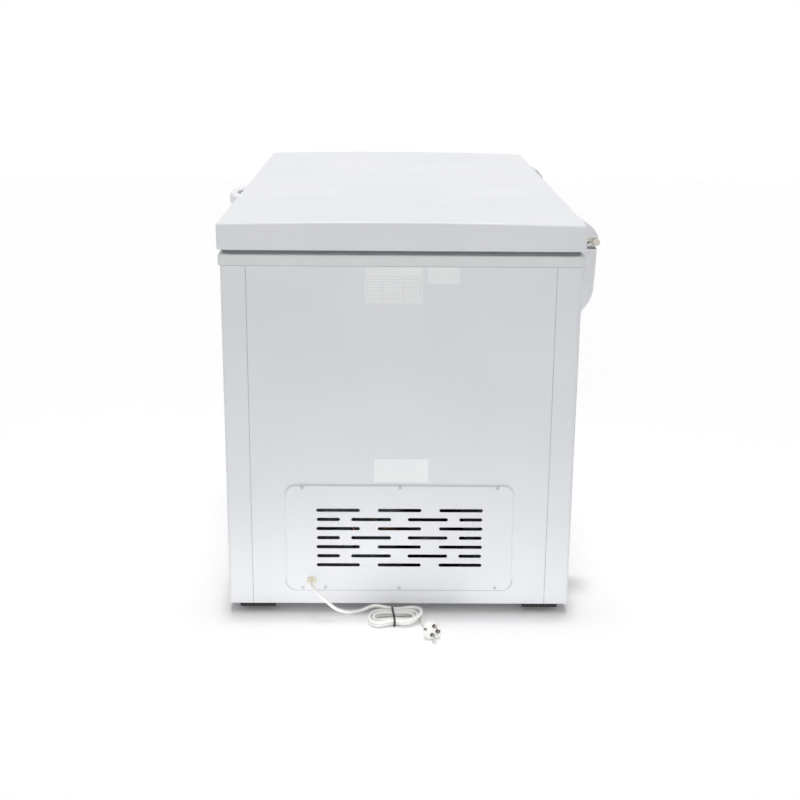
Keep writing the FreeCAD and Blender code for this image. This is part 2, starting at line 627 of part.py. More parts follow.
def hinge(side, x):
    """One lid hinge: bracket, housing and pin on the cabinet; arm and cover on the lid."""
    wall = halfDepth + d.fitGap
    half = d.hingeWidth / 2
    housingHigh = pinZ - d.housingDrop

    def shifted(sketchBody):
        place(sketchBody, (x, 0, 0))
        return sketchBody

    # bracket: a plate on the cabinet's back that carries the barrel between two ribs
    bracket = newBody(f"hinge_bracket_{side}")
    plate = sketchOn(bracket, f"bracket_plate_{side}", "YZ")
    plateTop = cabinetTop - d.neckInset
    plateLow = pinZ - d.housingFoot + d.bracketFoot
    rectangle(plate, wall, plateLow, wall + d.bracketThick, plateTop)
    pad(bracket, plate, d.bracketWidth, f"bracket_plate_pad_{side}", both=True)
    neck = sketchOn(bracket, f"bracket_neck_{side}", "YZ")
    rootY, ribWidth = wall + d.bracketThick / 2, d.bracketWidth - 2 * d.neckInset
    outline(neck, [
        (rootY, plateLow + d.neckFoot), (wall + d.neckOut, plateLow + d.neckFoot + d.neckInset),
        (pinY + d.barrelRadius - d.neckSlim, pinZ - d.neckTop), (pinY + d.barrelRadius - 1, pinZ),
        (pinY - d.barrelRadius + 1, pinZ), (rootY, plateTop)])
    pad(bracket, neck, ribWidth, f"bracket_ribs_{side}", both=True)
    between = sketchOn(bracket, f"bracket_between_{side}", "YZ")
    rectangle(between, wall + d.bracketThick, plateLow, pinY + 4 * d.barrelRadius, pinZ - d.barrelRadius)
    pocket(bracket, between, ribWidth - 2 * d.ribThick, f"bracket_hollow_{side}", both=True)
    barrel = sketchOn(bracket, f"bracket_barrel_{side}", "YZ")
    circle(barrel, pinY, pinZ, d.barrelRadius)
    pad(bracket, barrel, d.bracketWidth - 2, f"bracket_barrel_pad_{side}", both=True)
    bore = sketchOn(bracket, f"bracket_bore_{side}", "YZ")
    circle(bore, pinY, pinZ, d.pinRadius)
    pocket(bracket, bore, d.bracketWidth + 2, f"bracket_bore_cut_{side}", both=True)
    keep(f"hinge_bracket_{side}", shifted(bracket))

    # housing: the moulded cover over the bracket, open to the wall and at the top
    housing = newBody(f"hinge_housing_{side}")
    profile = sketchOn(housing, f"housing_profile_{side}", "YZ")
    foot, reach, lipY, w = pinZ - d.housingFoot, pinY + d.housingReach, wall + d.housingLip, d.housingWall
    chinY, bendY, bendZ = wall + d.housingChin, reach - d.housingLean, foot + d.housingBend
    lean = (d.housingLean, housingHigh - bendZ)
    lipTop = cabinetTop - d.neckInset / 2
    outline(profile, [
        (wall, foot), (chinY, foot), tangentBulge((chinY, foot), (bendY, bendZ), lean), (bendY, bendZ),
        (reach, housingHigh), (lipY, housingHigh), (lipY, lipTop), (wall, lipTop)])
    pad(housing, profile, d.hingeWidth, f"housing_pad_{side}", both=True)
    soften(housing, d.housingSide, f"housing_side_{side}",
           lambda edge: abs(abs(middle(edge).x) - float(half)) < 0.01 and middle(edge).y > float(chinY)
           and edge.BoundBox.ZLength > 5)
    hollow = sketchOn(housing, f"housing_hollow_{side}", "YZ")
    chinIn, bendIn = (chinY - 1, foot + w), (bendY - w, bendZ)
    outline(hollow, [
        (wall - 1, foot + w), chinIn, tangentBulge(chinIn, bendIn, lean), bendIn,
        (reach - w, housingHigh), (reach - w, housingHigh + 1), (wall - 1, housingHigh + 1)])
    pocket(housing, hollow, d.hingeWidth - 2 * w, f"housing_inside_{side}", both=True)
    keep(f"hinge_housing_{side}", shifted(housing))

    # arm: a plate on the lid's back with a knuckle on each side of the barrel
    arm = newBody(f"hinge_arm_{side}")
    backFace = lidBackY + d.fitGap
    cheek = sketchOn(arm, f"arm_cheek_{side}", "YZ")
    r = d.knuckleRadius
    diagonal = r * math.sqrt(0.5)
    outline(cheek, [
        (backFace, pinZ + d.armFoot), (pinY - r, pinZ), (pinY - diagonal, pinZ - diagonal, "bulge"), (pinY, pinZ - r),
        (pinY + r, pinZ, "bulge"), (pinY, pinZ + r), (backFace + d.armThick, pinZ + d.armTop),
        (backFace, pinZ + d.armTop)])
    armWidth, betweenWidth = d.hingeWidth - 2 * d.coverWall - 2 * d.sideGap, d.bracketWidth - 2 + 2 * d.sideGap
    pad(arm, cheek, armWidth, f"arm_pad_{side}", both=True)
    gap = sketchOn(arm, f"arm_gap_{side}", "YZ")
    rectangle(gap, backFace + d.armThick, pinZ - 2 * r, pinY + 2 * r, pinZ + d.armTop + 1)
    pocket(arm, gap, betweenWidth, f"arm_between_{side}", both=True)
    under = sketchOn(arm, f"arm_under_{side}", "YZ")
    rectangle(under, backFace - 1, pinZ - 2 * r, backFace + d.armThick + 1, lidLow + 1)
    pocket(arm, under, betweenWidth, f"arm_under_cut_{side}", both=True)
    armBore = sketchOn(arm, f"arm_bore_{side}", "YZ")
    circle(armBore, pinY, pinZ, d.pinRadius + d.pinFit)
    pocket(arm, armBore, 2 * d.hingeWidth, f"arm_bore_cut_{side}", both=True)
    keep(f"hinge_arm_{side}", shifted(arm))

    # cover: the domed cap that hides the arm
    cover = newBody(f"hinge_cover_{side}")
    outer, w = half + d.coverWall, d.coverWall
    shellSketch = sketchOn(cover, f"cover_profile_{side}", "YZ")
    low, high, edgeY = pinZ + d.coverSkirt, pinZ + d.coverRise, pinY + d.coverReach
    domeY, domeZ = pinY - d.domeBack, pinZ + d.domeRise
    outline(shellSketch, [(backFace, low), (edgeY, low), (domeY, domeZ, "bulge"), (backFace, high)])
    pad(cover, shellSketch, 2 * outer, f"cover_pad_{side}", both=True)
    soften(cover, d.coverWall * 0.8, f"cover_edge_{side}",
           lambda edge: abs(abs(middle(edge).x) - float(outer)) < 0.01 and edge.BoundBox.ZLength > 20
           and middle(edge).y > float(backFace) + 1)
    inside = sketchOn(cover, f"cover_inside_{side}", "YZ")
    outline(inside, [(backFace - 1, low - 1), (edgeY - w, low - 1), (domeY - 0.75 * w, domeZ - 0.65 * w, "bulge"),
                     (backFace - 1, high - w)])
    pocket(cover, inside, 2 * (half - d.sideGap) + 1, f"cover_hollow_{side}", both=True)
    keep(f"hinge_cover_{side}", shifted(cover))

    # pin: headed at both ends
    pinBody = newBody(f"hinge_pin_{side}")
    shaft = sketchOn(pinBody, f"pin_shaft_{side}", "YZ")
    circle(shaft, pinY, pinZ, d.pinRadius)
    pad(pinBody, shaft, d.hingeWidth, f"pin_shaft_pad_{side}", both=True)
    for end in (-1, 1):
        head = sketchOn(pinBody, f"pin_head_{side}_{end + 1}", "YZ", end * (half - d.sideGap))
        circle(head, pinY, pinZ, d.pinHeadRadius)
        pad(pinBody, head, d.pinHeadThick, f"pin_head_pad_{side}_{end + 1}", reverse=end < 0)
    faceX = float(half - d.sideGap + d.pinHeadThick)
    soften(pinBody, d.pinHeadRound, f"pin_head_rounds_{side}", lambda edge: abs(abs(middle(edge).x) - faceX) < 0.01)
    keep(f"hinge_pin_{side}", shifted(pinBody))


# ---------------------------------------------------------------- compressor bay

def grilleCover():
    """The pressed cover of the compressor bay: flat rim, raised field and rows of slots."""
    body = newBody("grille_cover")
    halfY = d.grilleWidth / 2
    low = d.footHeight + d.grilleLow
    high = low + d.grilleHeight
    rim = sketchOn(body, "grille_rim", "YZ", halfLength)
    rectangle(rim, -halfY, low, halfY, high)
    pad(body, rim, d.grilleThick, "rim_sheet")
    isCorner = lambda edge: isAlong(edge, Vector(1, 0, 0))
    soften(body, d.grilleRadius, "rim_corners", isCorner)
    outside = float(halfLength + d.grilleThick)
    field = sketchOn(body, "grille_field", "YZ", halfLength)
    fieldRadius = d.grilleRadius - d.grilleRim

    def roundedRing(sketch, inset, radius):
        y, z0, z1, q = halfY - inset, low + inset, high - inset, 0.2929 * radius
        outline(sketch, [
            (-y + radius, z0), (y - radius, z0), (y - q, z0 + q, "bulge"), (y, z0 + radius), (y, z1 - radius),
            (y - q, z1 - q, "bulge"), (y - radius, z1), (-y + radius, z1), (-y + q, z1 - q, "bulge"),
            (-y, z1 - radius), (-y, z0 + radius), (-y + q, z0 + q, "bulge")])

    roundedRing(field, d.grilleRim, fieldRadius)
    pad(body, field, d.grilleThick + d.fieldRise, "field_sheet")
    hollow = sketchOn(body, "grille_hollow", "YZ", halfLength - 1)
    roundedRing(hollow, d.grilleRim + d.grilleThick, fieldRadius - d.grilleThick)
    pocket(body, hollow, d.fieldRise + 1, "field_hollow", reverse=True)
    top = outside + float(d.fieldRise)
    soften(body, d.fieldRise * 0.45, "field_edge", lambda edge: edge.BoundBox.XMin > top - 0.01)

    middleZ = low + d.grilleHeight / 2 + d.slotRaise
    firstRow = middleZ - d.slotPitch * (sizes["slotRows"] - 1) / 2
    deep = d.fieldRise + d.grilleThick + 2
    for word, row, slots in (("long", 0, ((-d.longStep, d.longSlot), (0 * d.longStep, d.longSlot), (d.longStep, d.longSlot))),
                             ("short", 1, ((-d.outerStep, d.outerSlot), (-d.innerStep, d.innerSlot),
                                           (d.innerStep, d.innerSlot), (d.outerStep, d.outerSlot)))):
        sketch = sketchOn(body, f"{word}_slots", "YZ", halfLength - 1)
        for y, length in slots:
            slotRing(sketch, y, firstRow + d.slotPitch * row, length, d.slotHeight)
        pressed = pocket(body, sketch, deep, f"{word}_slot_row", reverse=True)
        doc.recompute()
        pattern = body.newObject("PartDesign::LinearPattern", f"{word}_slot_rows")
        pattern.Originals = [pressed]
        pattern.Direction = (sketch, ["V_Axis"])
        copies = (int(sizes["slotRows"]) + 1 - row) // 2
        pattern.Occurrences = copies
        bind(pattern, "Length", d.slotPitch * 2 * (copies - 1))
        body.Tip = pattern
    entry = sketchOn(body, "cord_entry", "YZ", halfLength - 1)
    circle(entry, -d.grommetSide, d.footHeight + d.grommetHigh, d.grommetNeck)
    pocket(body, entry, deep, "cord_entry_hole", reverse=True)
    keep("grille_cover", body)


def grilleScrews():
    """The pan-head screws round the cover's rim."""
    low = d.footHeight + d.grilleLow + d.screwInset
    high = d.footHeight + d.grilleLow + d.grilleHeight - d.screwInset
    spots = [(-d.screwSpan, high), (0 * d.screwSpan, high), (d.screwSpan, high),
             (-d.screwSpan, low), (-d.extraScrew, low), (0 * d.screwSpan, low), (d.screwSpan, low)]
    seat = halfLength + d.grilleThick + d.fieldRise
    heads = []
    for k, (y, z) in enumerate(spots):
        head = rod(f"screw_head_{k}", (seat, y, z), d.screwRadius, d.screwHead, alongX)
        heads.append(rounded(f"screw_{k}", head, 0.4 * d.screwHead,
                             lambda edge: edge.BoundBox.XMin > float(seat) + 0.5))
    group = doc.addObject("Part::Compound", "screw_group")
    group.Links = heads
    keep("grille_screws", group)


def grommet():
    """The strain bush where the cord leaves the cover."""
    body = newBody("cord_grommet")
    sketch = sketchOn(body, "grommet_section", "XZ")
    face = d.grilleThick + d.fieldRise
    back = -4
    outline(sketch, [
        (back, d.grommetBore), (face + d.grommetProud, d.grommetBore), (face + d.grommetProud, d.grommetRadius - 3),
        (face + 1.2, d.grommetRadius), (face + 0.05, d.grommetRadius), (face + 0.05, d.grommetNeck - 0.1),
        (d.fieldRise, d.grommetNeck - 0.1), (d.fieldRise - 0.05, d.grommetNeck + 1.6), (back, d.grommetNeck + 0.6)])
    revolved(body, sketch, "grommet_turned", "H_Axis")
    place(body, (halfLength, -d.grommetSide, d.footHeight + d.grommetHigh))
    keep("cord_grommet", body)


def compressor():
    """The sealed pot on its rubber mounts, with the relay on its side."""
    x, y = halfLength - d.potX, d.potY
    floor = d.footHeight + d.panThick
    plateZ = floor + d.rubberHeight
    spread = d.mountSpread
    corners = [(x + sx * spread, y + sy * spread) for sx in (-1, 1) for sy in (-1, 1)]
    rubbers = []
    for k, (cx, cy) in enumerate(corners):
        outer = rod(f"rubber_block_{k}", (cx, cy, floor), d.rubberRadius, d.rubberHeight)
        rubbers.append(cut(f"rubber_{k}", outer, rod(f"rubber_bore_{k}", (cx, cy, floor - 1), d.boltRadius + 0.2,
                                                    d.rubberHeight + 2)))
    group = doc.addObject("Part::Compound", "rubber_group")
    group.Links = rubbers
    keep("compressor_rubbers", group)
    bolts = [rod(f"bolt_{k}", (cx, cy, floor), d.boltRadius, d.rubberHeight + d.mountPlateThick + 5)
             for k, (cx, cy) in enumerate(corners)]
    boltGroup = doc.addObject("Part::Compound", "bolt_group")
    boltGroup.Links = bolts
    keep("compressor_bolts", boltGroup)
    half = d.mountPlate / 2
    plate = rounded("mount_plate_round",
                    box("mount_plate_block", (x - half, y - half, plateZ), (x + half, y + half, plateZ + d.mountPlateThick)),
                    d.rubberRadius, isUpright)
    holes = [rod(f"mount_hole_{k}", (cx, cy, plateZ - 1), d.boltRadius + 0.2, d.mountPlateThick + 2)
             for k, (cx, cy) in enumerate(corners)]
    keep("compressor_plate", cut("mount_plate_cut", plate, *holes))
    pot = newBody("compressor_pot")
    section = sketchOn(pot, "pot_section", "XZ")
    r, high = d.potRadius, d.potHeight
    seam = high * 0.52
    outline(section, [
        (0, 0), (r * 0.62, 0), (r * 0.89, high * 0.108, "bulge"), (r, high * 0.26), (r, seam - 3), (r + 3.5, seam - 3),
        (r + 3.5, seam + 3), (r, seam + 3), (r, high * 0.7), (r * 0.8, high * 0.912, "bulge"), (r * 0.3, high), (0, high)])
    revolved(pot, section, "pot_turned")
    place(pot, (x, y, plateZ + d.mountPlateThick))
    keep("compressor_pot", pot)
    relayX = x + d.potRadius + 4
    relayZ = plateZ + d.mountPlateThick + 14
    relay = box("relay_block", (relayX, y - d.relayWidth / 2, relayZ),
                (relayX + d.relayDeep, y + d.relayWidth / 2, relayZ + d.relayHeight))
    tongue = box("relay_tongue", (relayX - 4.6, y - d.relayWidth / 4, relayZ + 0.13 * d.relayHeight),
                 (relayX + 1, y + d.relayWidth / 4, relayZ + 0.65 * d.relayHeight))
    relayRound = rounded("relay_round", relay, 4, isUpright)
    keep("start_relay", cut("relay_cut", join("relay_whole", relayRound, tongue),
                            rod("relay_hollow", (x, y, plateZ), d.potRadius + 0.3, d.potHeight)))


def pipeAlong(points, radius, bend):
    """A tube along straight runs whose corners are arcs of one radius."""
    edges = []
    last = points[0]
    for before, corner, after in zip(points, points[1:], points[2:]):
        a, b = (before - corner).normalize(), (after - corner).normalize()
        half = math.acos(max(-1, min(1, a.dot(b)))) / 2
        cutBack = bend / math.tan(half)
        start, end = corner + a * cutBack, corner + b * cutBack
        centre = corner + (a + b).normalize() * (bend / math.sin(half))
        mid = centre + (corner - centre).normalize() * bend
        if (start - last).Length > 1e-6:
            edges.append(Part.LineSegment(last, start).toShape())
        edges.append(Part.Arc(start, mid, end).toShape())
        last = end
    edges.append(Part.LineSegment(last, points[-1]).toShape())
    path = Part.Wire(edges)
    section = Part.Wire(Part.makeCircle(radius, points[0], points[1] - points[0]))
    return path.makePipeShell([section], True, False)


def bayPipes():
    """The copper pipes of the bay and the filter drier."""
    x, y = float(halfLength - d.potX), float(d.potY)
    floor = float(d.footHeight + d.panThick)
    r, gap = float(d.potRadius), float(d.fitGap)
    potBase = floor + float(d.rubberHeight + d.mountPlateThick)
    drierTop = floor + gap + float(d.drierLength)
    wallX = float(bayX)
    big, thin = float(d.pipeRadius), float(d.thinPipe)
    high = potBase + float(d.potHeight) * 0.62
    out, up = y - r - float(d.suctionReach), high + float(d.suctionRise)
    suction = [Vector(x, y - r - gap, high), Vector(x, out, high), Vector(x, out, up), Vector(wallX + gap, out, up)]
    suctionTube = doc.addObject("Part::Feature", "suction_pipe")
    suctionTube.Shape = pipeAlong(suction, big, float(d.pipeBend))
    keep("suction_pipe", suctionTube)
    low = potBase + float(d.potHeight) * 0.35
    up = low + float(d.dischargeRise)
    aside = float(d.dischargeAside)
    side = x + aside
    start = y - math.sqrt(r ** 2 - (aside - thin) ** 2) - gap
    turnY, drierY = y - r - float(d.dischargeReach), y - r - float(d.drierAway)
    discharge = [Vector(side, start, low), Vector(side, turnY, low), Vector(side, turnY, up), Vector(side, drierY, up),
                 Vector(side, drierY, drierTop + gap)]
    dischargeTube = doc.addObject("Part::Feature", "discharge_pipe")
    dischargeTube.Shape = pipeAlong(discharge, thin, float(d.thinBend))
    keep("discharge_pipe", dischargeTube)
    drier = newBody("filter_drier")
    section = sketchOn(drier, "drier_section", "XZ")
    long, wide, neck = d.drierLength, d.drierRadius, d.drierNeck
    outline(section, [(0, 0), (d.thinPipe, 0), (d.thinPipe, neck), (wide, d.drierTaper), (wide, long - d.drierTaper),
                      (d.thinPipe, long - neck), (d.thinPipe, long), (0, long)])
    revolved(drier, section, "drier_turned")
    place(drier, (side, drierY, floor + gap))
    keep("filter_drier", drier)


# ---------------------------------------------------------------- feet

def feet():
    """Corner plates under the cabinet, each with a screwed levelling foot."""
    plateLow = d.footHeight - d.footPlateThick
    half = d.footPlate / 2
    for name, (x, y) in footCentres().items():
        block = box(f"foot_plate_block_{name}", (x - half, y - half, plateLow), (x + half, y + half, d.footHeight))
        plate = rounded(f"foot_plate_round_{name}", block, d.footPlateRound, isUpright)
        bossTop = d.footHeight + d.panThick + 6
        boss = rod(f"foot_boss_{name}", (x, y, plateLow), d.footStudRadius + d.footBoreClear - 0.3, bossTop - plateLow)
        whole = join(f"foot_plate_whole_{name}", plate, boss)
        keep(f"foot_plate_{name}", cut(f"foot_plate_cut_{name}", whole,
                                       rod(f"foot_bore_{name}", (x, y, plateLow - 1),
                                           d.footStudRadius + d.footStudFit, bossTop)))
        foot = newBody(f"levelling_foot_{name}")
        section = sketchOn(foot, f"foot_section_{name}", "XZ")
        nutTop = plateLow - d.fitGap
        outline(section, [
            (0, 0), (d.footRadius - 1.5, 0), (d.footRadius, 1.5), (d.footRadius, d.footPad - 2),
            (d.footRadius - 2, d.footPad), (d.footNutRadius, d.footPad), (d.footNutRadius, nutTop),
            (d.footStudRadius, nutTop), (d.footStudRadius, d.footStudTop), (0, d.footStudTop)])
        revolved(foot, section, f"foot_turned_{name}")
        place(foot, (x, y, 0))
        keep(f"levelling_foot_{name}", foot)


# ---------------------------------------------------------------- front controls

def controls():
    """The thermostat with its knob and the signal lamps in their bezel."""
    x, z = bezelX(), d.bezelHigh
    face = halfDepth + d.bezelThick
    plate = rounded("bezel_round",
                    box("bezel_block", (x - d.bezelLength / 2, -face, z - d.bezelHeight / 2),
                        (x + d.bezelLength / 2, -halfDepth, z + d.bezelHeight / 2)),
                    d.bezelRound, lambda edge: isAlong(edge, Vector(0, 1, 0)))
    soft = rounded("bezel_edge", plate, d.bezelThick * 0.4,
                   lambda edge: edge.BoundBox.YMax < -float(face) + 0.01)
    knobX = x - d.knobAside
    lamps = [x + d.knobAside + d.lampPitch * k for k in (-1, 0, 1)]
    shaftHole = rod("bezel_shaft_hole", (knobX, -face - 1, z), d.knobShaft + d.knobFit, d.thermostatDeep, alongY)
    lampHoles = [rod(f"bezel_lamp_hole_{k}", (at, -face - 1, z), d.lampRadius + 0.1, d.thermostatDeep, alongY)
                 for k, at in enumerate(lamps)]
    keep("control_bezel", cut("bezel_cut", soft, shaftHole, *lampHoles))
    lensGroup = doc.addObject("Part::Compound", "lamp_group")
    lensGroup.Links = [rounded(f"lamp_{k}", rod(f"lamp_rod_{k}", (at, -face - 1.5, z), d.lampRadius, 12, alongY),
                               1.2, lambda edge: edge.BoundBox.YMax < -float(face) - 1) for k, at in enumerate(lamps)]
    keep("signal_lamps", lensGroup)
    box_ = box("thermostat_block", (knobX - d.thermostatSide / 2, -halfDepth + d.sheetThick, z - d.thermostatSide / 2),
               (knobX + d.thermostatSide / 2, -halfDepth + d.sheetThick + d.thermostatDeep, z + d.thermostatSide / 2))
    keep("thermostat", cut("thermostat_cut", box_, rod("thermostat_bore", (knobX, -halfDepth - 5, z),
                                                       d.knobShaft + d.knobFit, 20, alongY)))
    knob = newBody("thermostat_knob")
    section = sketchOn(knob, "knob_section", "XZ")
    r, high = d.knobRadius, d.knobHigh
    outline(section, [
        (0, -14), (d.knobShaft, -14), (d.knobShaft, 0.3), (r, 0.3), (r, 4), (r - 2, 5.5), (r - 3, high - 1.5),
        (r - 4.5, high), (0, high)])
    revolved(knob, section, "knob_turned")
    mark = sketchOn(knob, "knob_mark", "XY", high + 1)
    rectangle(mark, -1, r * 0.25, 1, r)
    pocket(knob, mark, 2.2, "knob_groove")
    place(knob, (knobX, -face, z), Rotation(Vector(1, 0, 0), 90))
    keep("thermostat_knob", knob)


# ---------------------------------------------------------------- supply cord

def tubeOn(points, radius, name):
    """A round cord on straight runs joined by arcs as large as the runs allow."""
    edges = []
    radii = []
    last = points[0]
    for before, corner, after in zip(points, points[1:], points[2:]):
        a, b = before - corner, after - corner
        shorter = min(a.Length, b.Length)
        a.normalize()
        b.normalize()
        turn = math.pi - math.acos(max(-1, min(1, a.dot(b))))
        cutBack = 0.45 * shorter
        bend = cutBack / math.tan(turn / 2)
        radii.append(bend)
        start, end = corner + a * cutBack, corner + b * cutBack
        toCentre = (a + b).normalize() * (bend / math.cos(turn / 2))
        mid = corner + toCentre - toCentre.normalize() * bend
        edges.append(Part.LineSegment(last, start).toShape())
        edges.append(Part.Arc(start, mid, end).toShape())
        last = end
    edges.append(Part.LineSegment(last, points[-1]).toShape())
    path = Part.Wire(edges)
    section = Part.Wire(Part.makeCircle(radius, points[0], points[1] - points[0]))
    solid = path.makePipeShell([section], True, False)
    print(f"{name}: length {path.Length:.1f}, radii " + " ".join(f"{value:.0f}" for value in radii)
          + f", volume ratio {solid.Volume / (math.pi * radius ** 2 * path.Length):.4f}")
    return solid, path.Length


# The hank: loops wound inwards in the top layer and outwards again in the bottom one.  Its middle is
# at (hankX, hankY); it starts at the back left, a part of a turn past its left end.
hankLoops = 2.5
hankStart, hankEnd = 0.17, 4.46


def hankPoint(turns):
    """A point of the hank's middle line, so many turns after its left end."""
    inset = float(d.hankPitch) * min(turns, 2 * hankLoops - turns)
    angle = 2 * math.pi * turns
    u = -math.cos(angle)
    narrowing = math.exp(-(u / 0.51) ** 2)
    lobe = (float(d.hankLobe) - 1.48 * inset) * (1 - narrowing)
    waist = (float(d.hankWaist) - 1.03 * inset) * narrowing
    wide = (lobe + waist) * (1 - 0.08 * (1 + u) / 2 * (1 - narrowing))
    across = math.copysign(abs(math.sin(angle)) ** 0.91, math.sin(angle)) * wide
    along = (float(d.hankReach) - 0.93 * inset) * u
    climb = min(max((turns - hankLoops) / 0.5 + 0.5, 0), 1)
    climb = climb * climb * (3 - 2 * climb)
    low = float(d.cordRadius) + 0.1
    high = 3 * low + 0.4
    lift = (float(d.tieThick) + 0.3) * math.exp(-(u / 0.45) ** 2)
    return Vector(float(d.hankX) - across, float(d.hankY) + along, high + (low - high) * climb + lift)


def hankHeading(turns):
    return (hankPoint(turns + 0.001) - hankPoint(turns - 0.001)).normalize()


def biarc(a, headingA, b, headingB):
    """Two tangent arcs from a to b that leave and arrive along the headings."""
    gap = b - a
    both = headingA + headingB
    slack = 1 - headingA.dot(headingB)
    if slack < 1e-9:
        return [Part.LineSegment(a, b).toShape()]
    reach = (-gap.dot(both) + math.sqrt(gap.dot(both) ** 2 + 2 * slack * gap.dot(gap))) / (2 * slack)
    cornerA, cornerB = a + headingA * reach, b - headingB * reach
    join_ = (cornerA + cornerB) * 0.5
    arcs = []
    for first, corner, last in ((a, cornerA, join_), (join_, cornerB, b)):
        chordMiddle = (first + last) * 0.5
        toCorner = corner - chordMiddle
        halfCosine = (last - first).Length / 2 / (corner - first).Length
        middlePoint = chordMiddle + toCorner * (halfCosine / (1 + halfCosine))
        arcs.append(Part.Arc(first, middlePoint, last).toShape())
    return arcs


def hankRun():
    """The turns of the hank at each eighth, from its start to its end."""
    eighths = [k / 8 for k in range(1, 40) if hankStart + 0.03 < k / 8 < hankEnd - 0.03]
    return [hankStart] + eighths + [hankEnd]


def cordHank():
    """The wound cord as one unbroken tube."""
    straight = 2 * float(d.cordRadius)
    turns = hankRun()
    first, firstHeading = hankPoint(turns[0]), hankHeading(turns[0])
    last, lastHeading = hankPoint(turns[-1]), hankHeading(turns[-1])
    edges = [Part.LineSegment(first - firstHeading * straight, first).toShape()]
    for before, after in zip(turns, turns[1:]):
        edges += biarc(hankPoint(before), hankHeading(before), hankPoint(after), hankHeading(after))
    edges.append(Part.LineSegment(last, last + lastHeading * straight).toShape())
    path = Part.Wire(edges)
    section = Part.Wire(Part.makeCircle(float(d.cordRadius), first - firstHeading * straight, firstHeading))
    solid = path.makePipeShell([section], True, False)
    spots = []
    walked = 0
    for edge in edges:
        count = max(2, int(edge.Length / 2))
        for k in range(count):
            at = edge.FirstParameter + (edge.LastParameter - edge.FirstParameter) * k / count
            spots.append((walked + edge.Length * k / count, edge.valueAt(at)))
        walked += edge.Length
    nearest = min((p - q).Length for i, (s, p) in enumerate(spots) for t, q in spots[i + 1:]
                  if t - s > 6 * straight)
    print(f"cord_hank: length {path.Length:.1f}, least gap {nearest - 2 * float(d.cordRadius):.2f}, "
          f"volume ratio {solid.Volume / (math.pi * float(d.cordRadius) ** 2 * path.Length):.4f}")
    hank = doc.addObject("Part::Feature", "cord_hank")
    hank.Shape = solid
    keep("cord_hank", hank)
    return first - firstHeading * straight, firstHeading, last + lastHeading * straight, lastHeading


# The free end of the cord, chosen by hand from the grommet down to the floor beside the hank.
freeRoute = [Vector(699.7, -187.5, 72.7), Vector(717, -187.2, 72.6), Vector(733, -180.5, 68), Vector(743, -168, 58),
             Vector(745, -155.5, 44), Vector(740.5, -143.5, 30), Vector(731.5, -130.5, 17.8), Vector(720.5, -115.5, 8.9),
             Vector(710, -98.5, 5.3), Vector(702, -80.5, 7.2)]
leadIn = 18
tailRun = 12
floorGap = 0.05
# how the plug lies: its yaw, the tilt of its nose and its roll
plugTurn = Rotation(14, -11.2, 75)


def cordPiece(name, points):
    piece = doc.addObject("Part::Feature", name)
    piece.Shape, length = tubeOn(points, float(d.cordRadius), name)
    keep(name, piece)


def supplyCord():
    """The free cord from the grommet, its hank, the short tail to the plug, the tie and the plug."""
    hankIn, headingIn, hankOut, headingOut = cordHank()
    cordPiece("power_cord", freeRoute + [hankIn - headingIn * leadIn, hankIn])
    aim = plugTurn.multVec(Vector(1, 0, 0))
    bend = hankOut + headingOut * tailRun
    reliefEnd = bend + aim * tailRun
    cordPiece("cord_tail", [hankOut, bend, reliefEnd])
    cordTie()
    plug(reliefEnd + aim * float(d.plugLength + d.reliefLength))


def cordTie():
    """The band round the hank's waist."""
    room = float(d.cordRadius + d.tieGap)
    backStrand, frontStrand = hankPoint(0.25), hankPoint(0.75)
    back, front = backStrand.x - float(d.hankX) - room, frontStrand.x - float(d.hankX) + room
    top = backStrand.z + room
    tie = newBody("cord_tie")
    band = sketchOn(tie, "tie_band", "XZ")
    rectangle(band, back - d.tieThick, floorGap, front + d.tieThick, top + d.tieThick)
    pad(tie, band, d.tieWidth, "tie_pad", both=True)
    soften(tie, d.cordRadius, "tie_round", lambda edge: isAlong(edge, Vector(0, 1, 0)))
    inner = sketchOn(tie, "tie_inside", "XZ")
    rectangle(inner, back, floorGap + d.tieThick, front, top)
    pocket(tie, inner, d.tieWidth + 2, "tie_hollow", both=True)
    place(tie, (d.hankX, d.hankY, 0), Rotation(5, 0, 0))
    keep("cord_tie", tie)


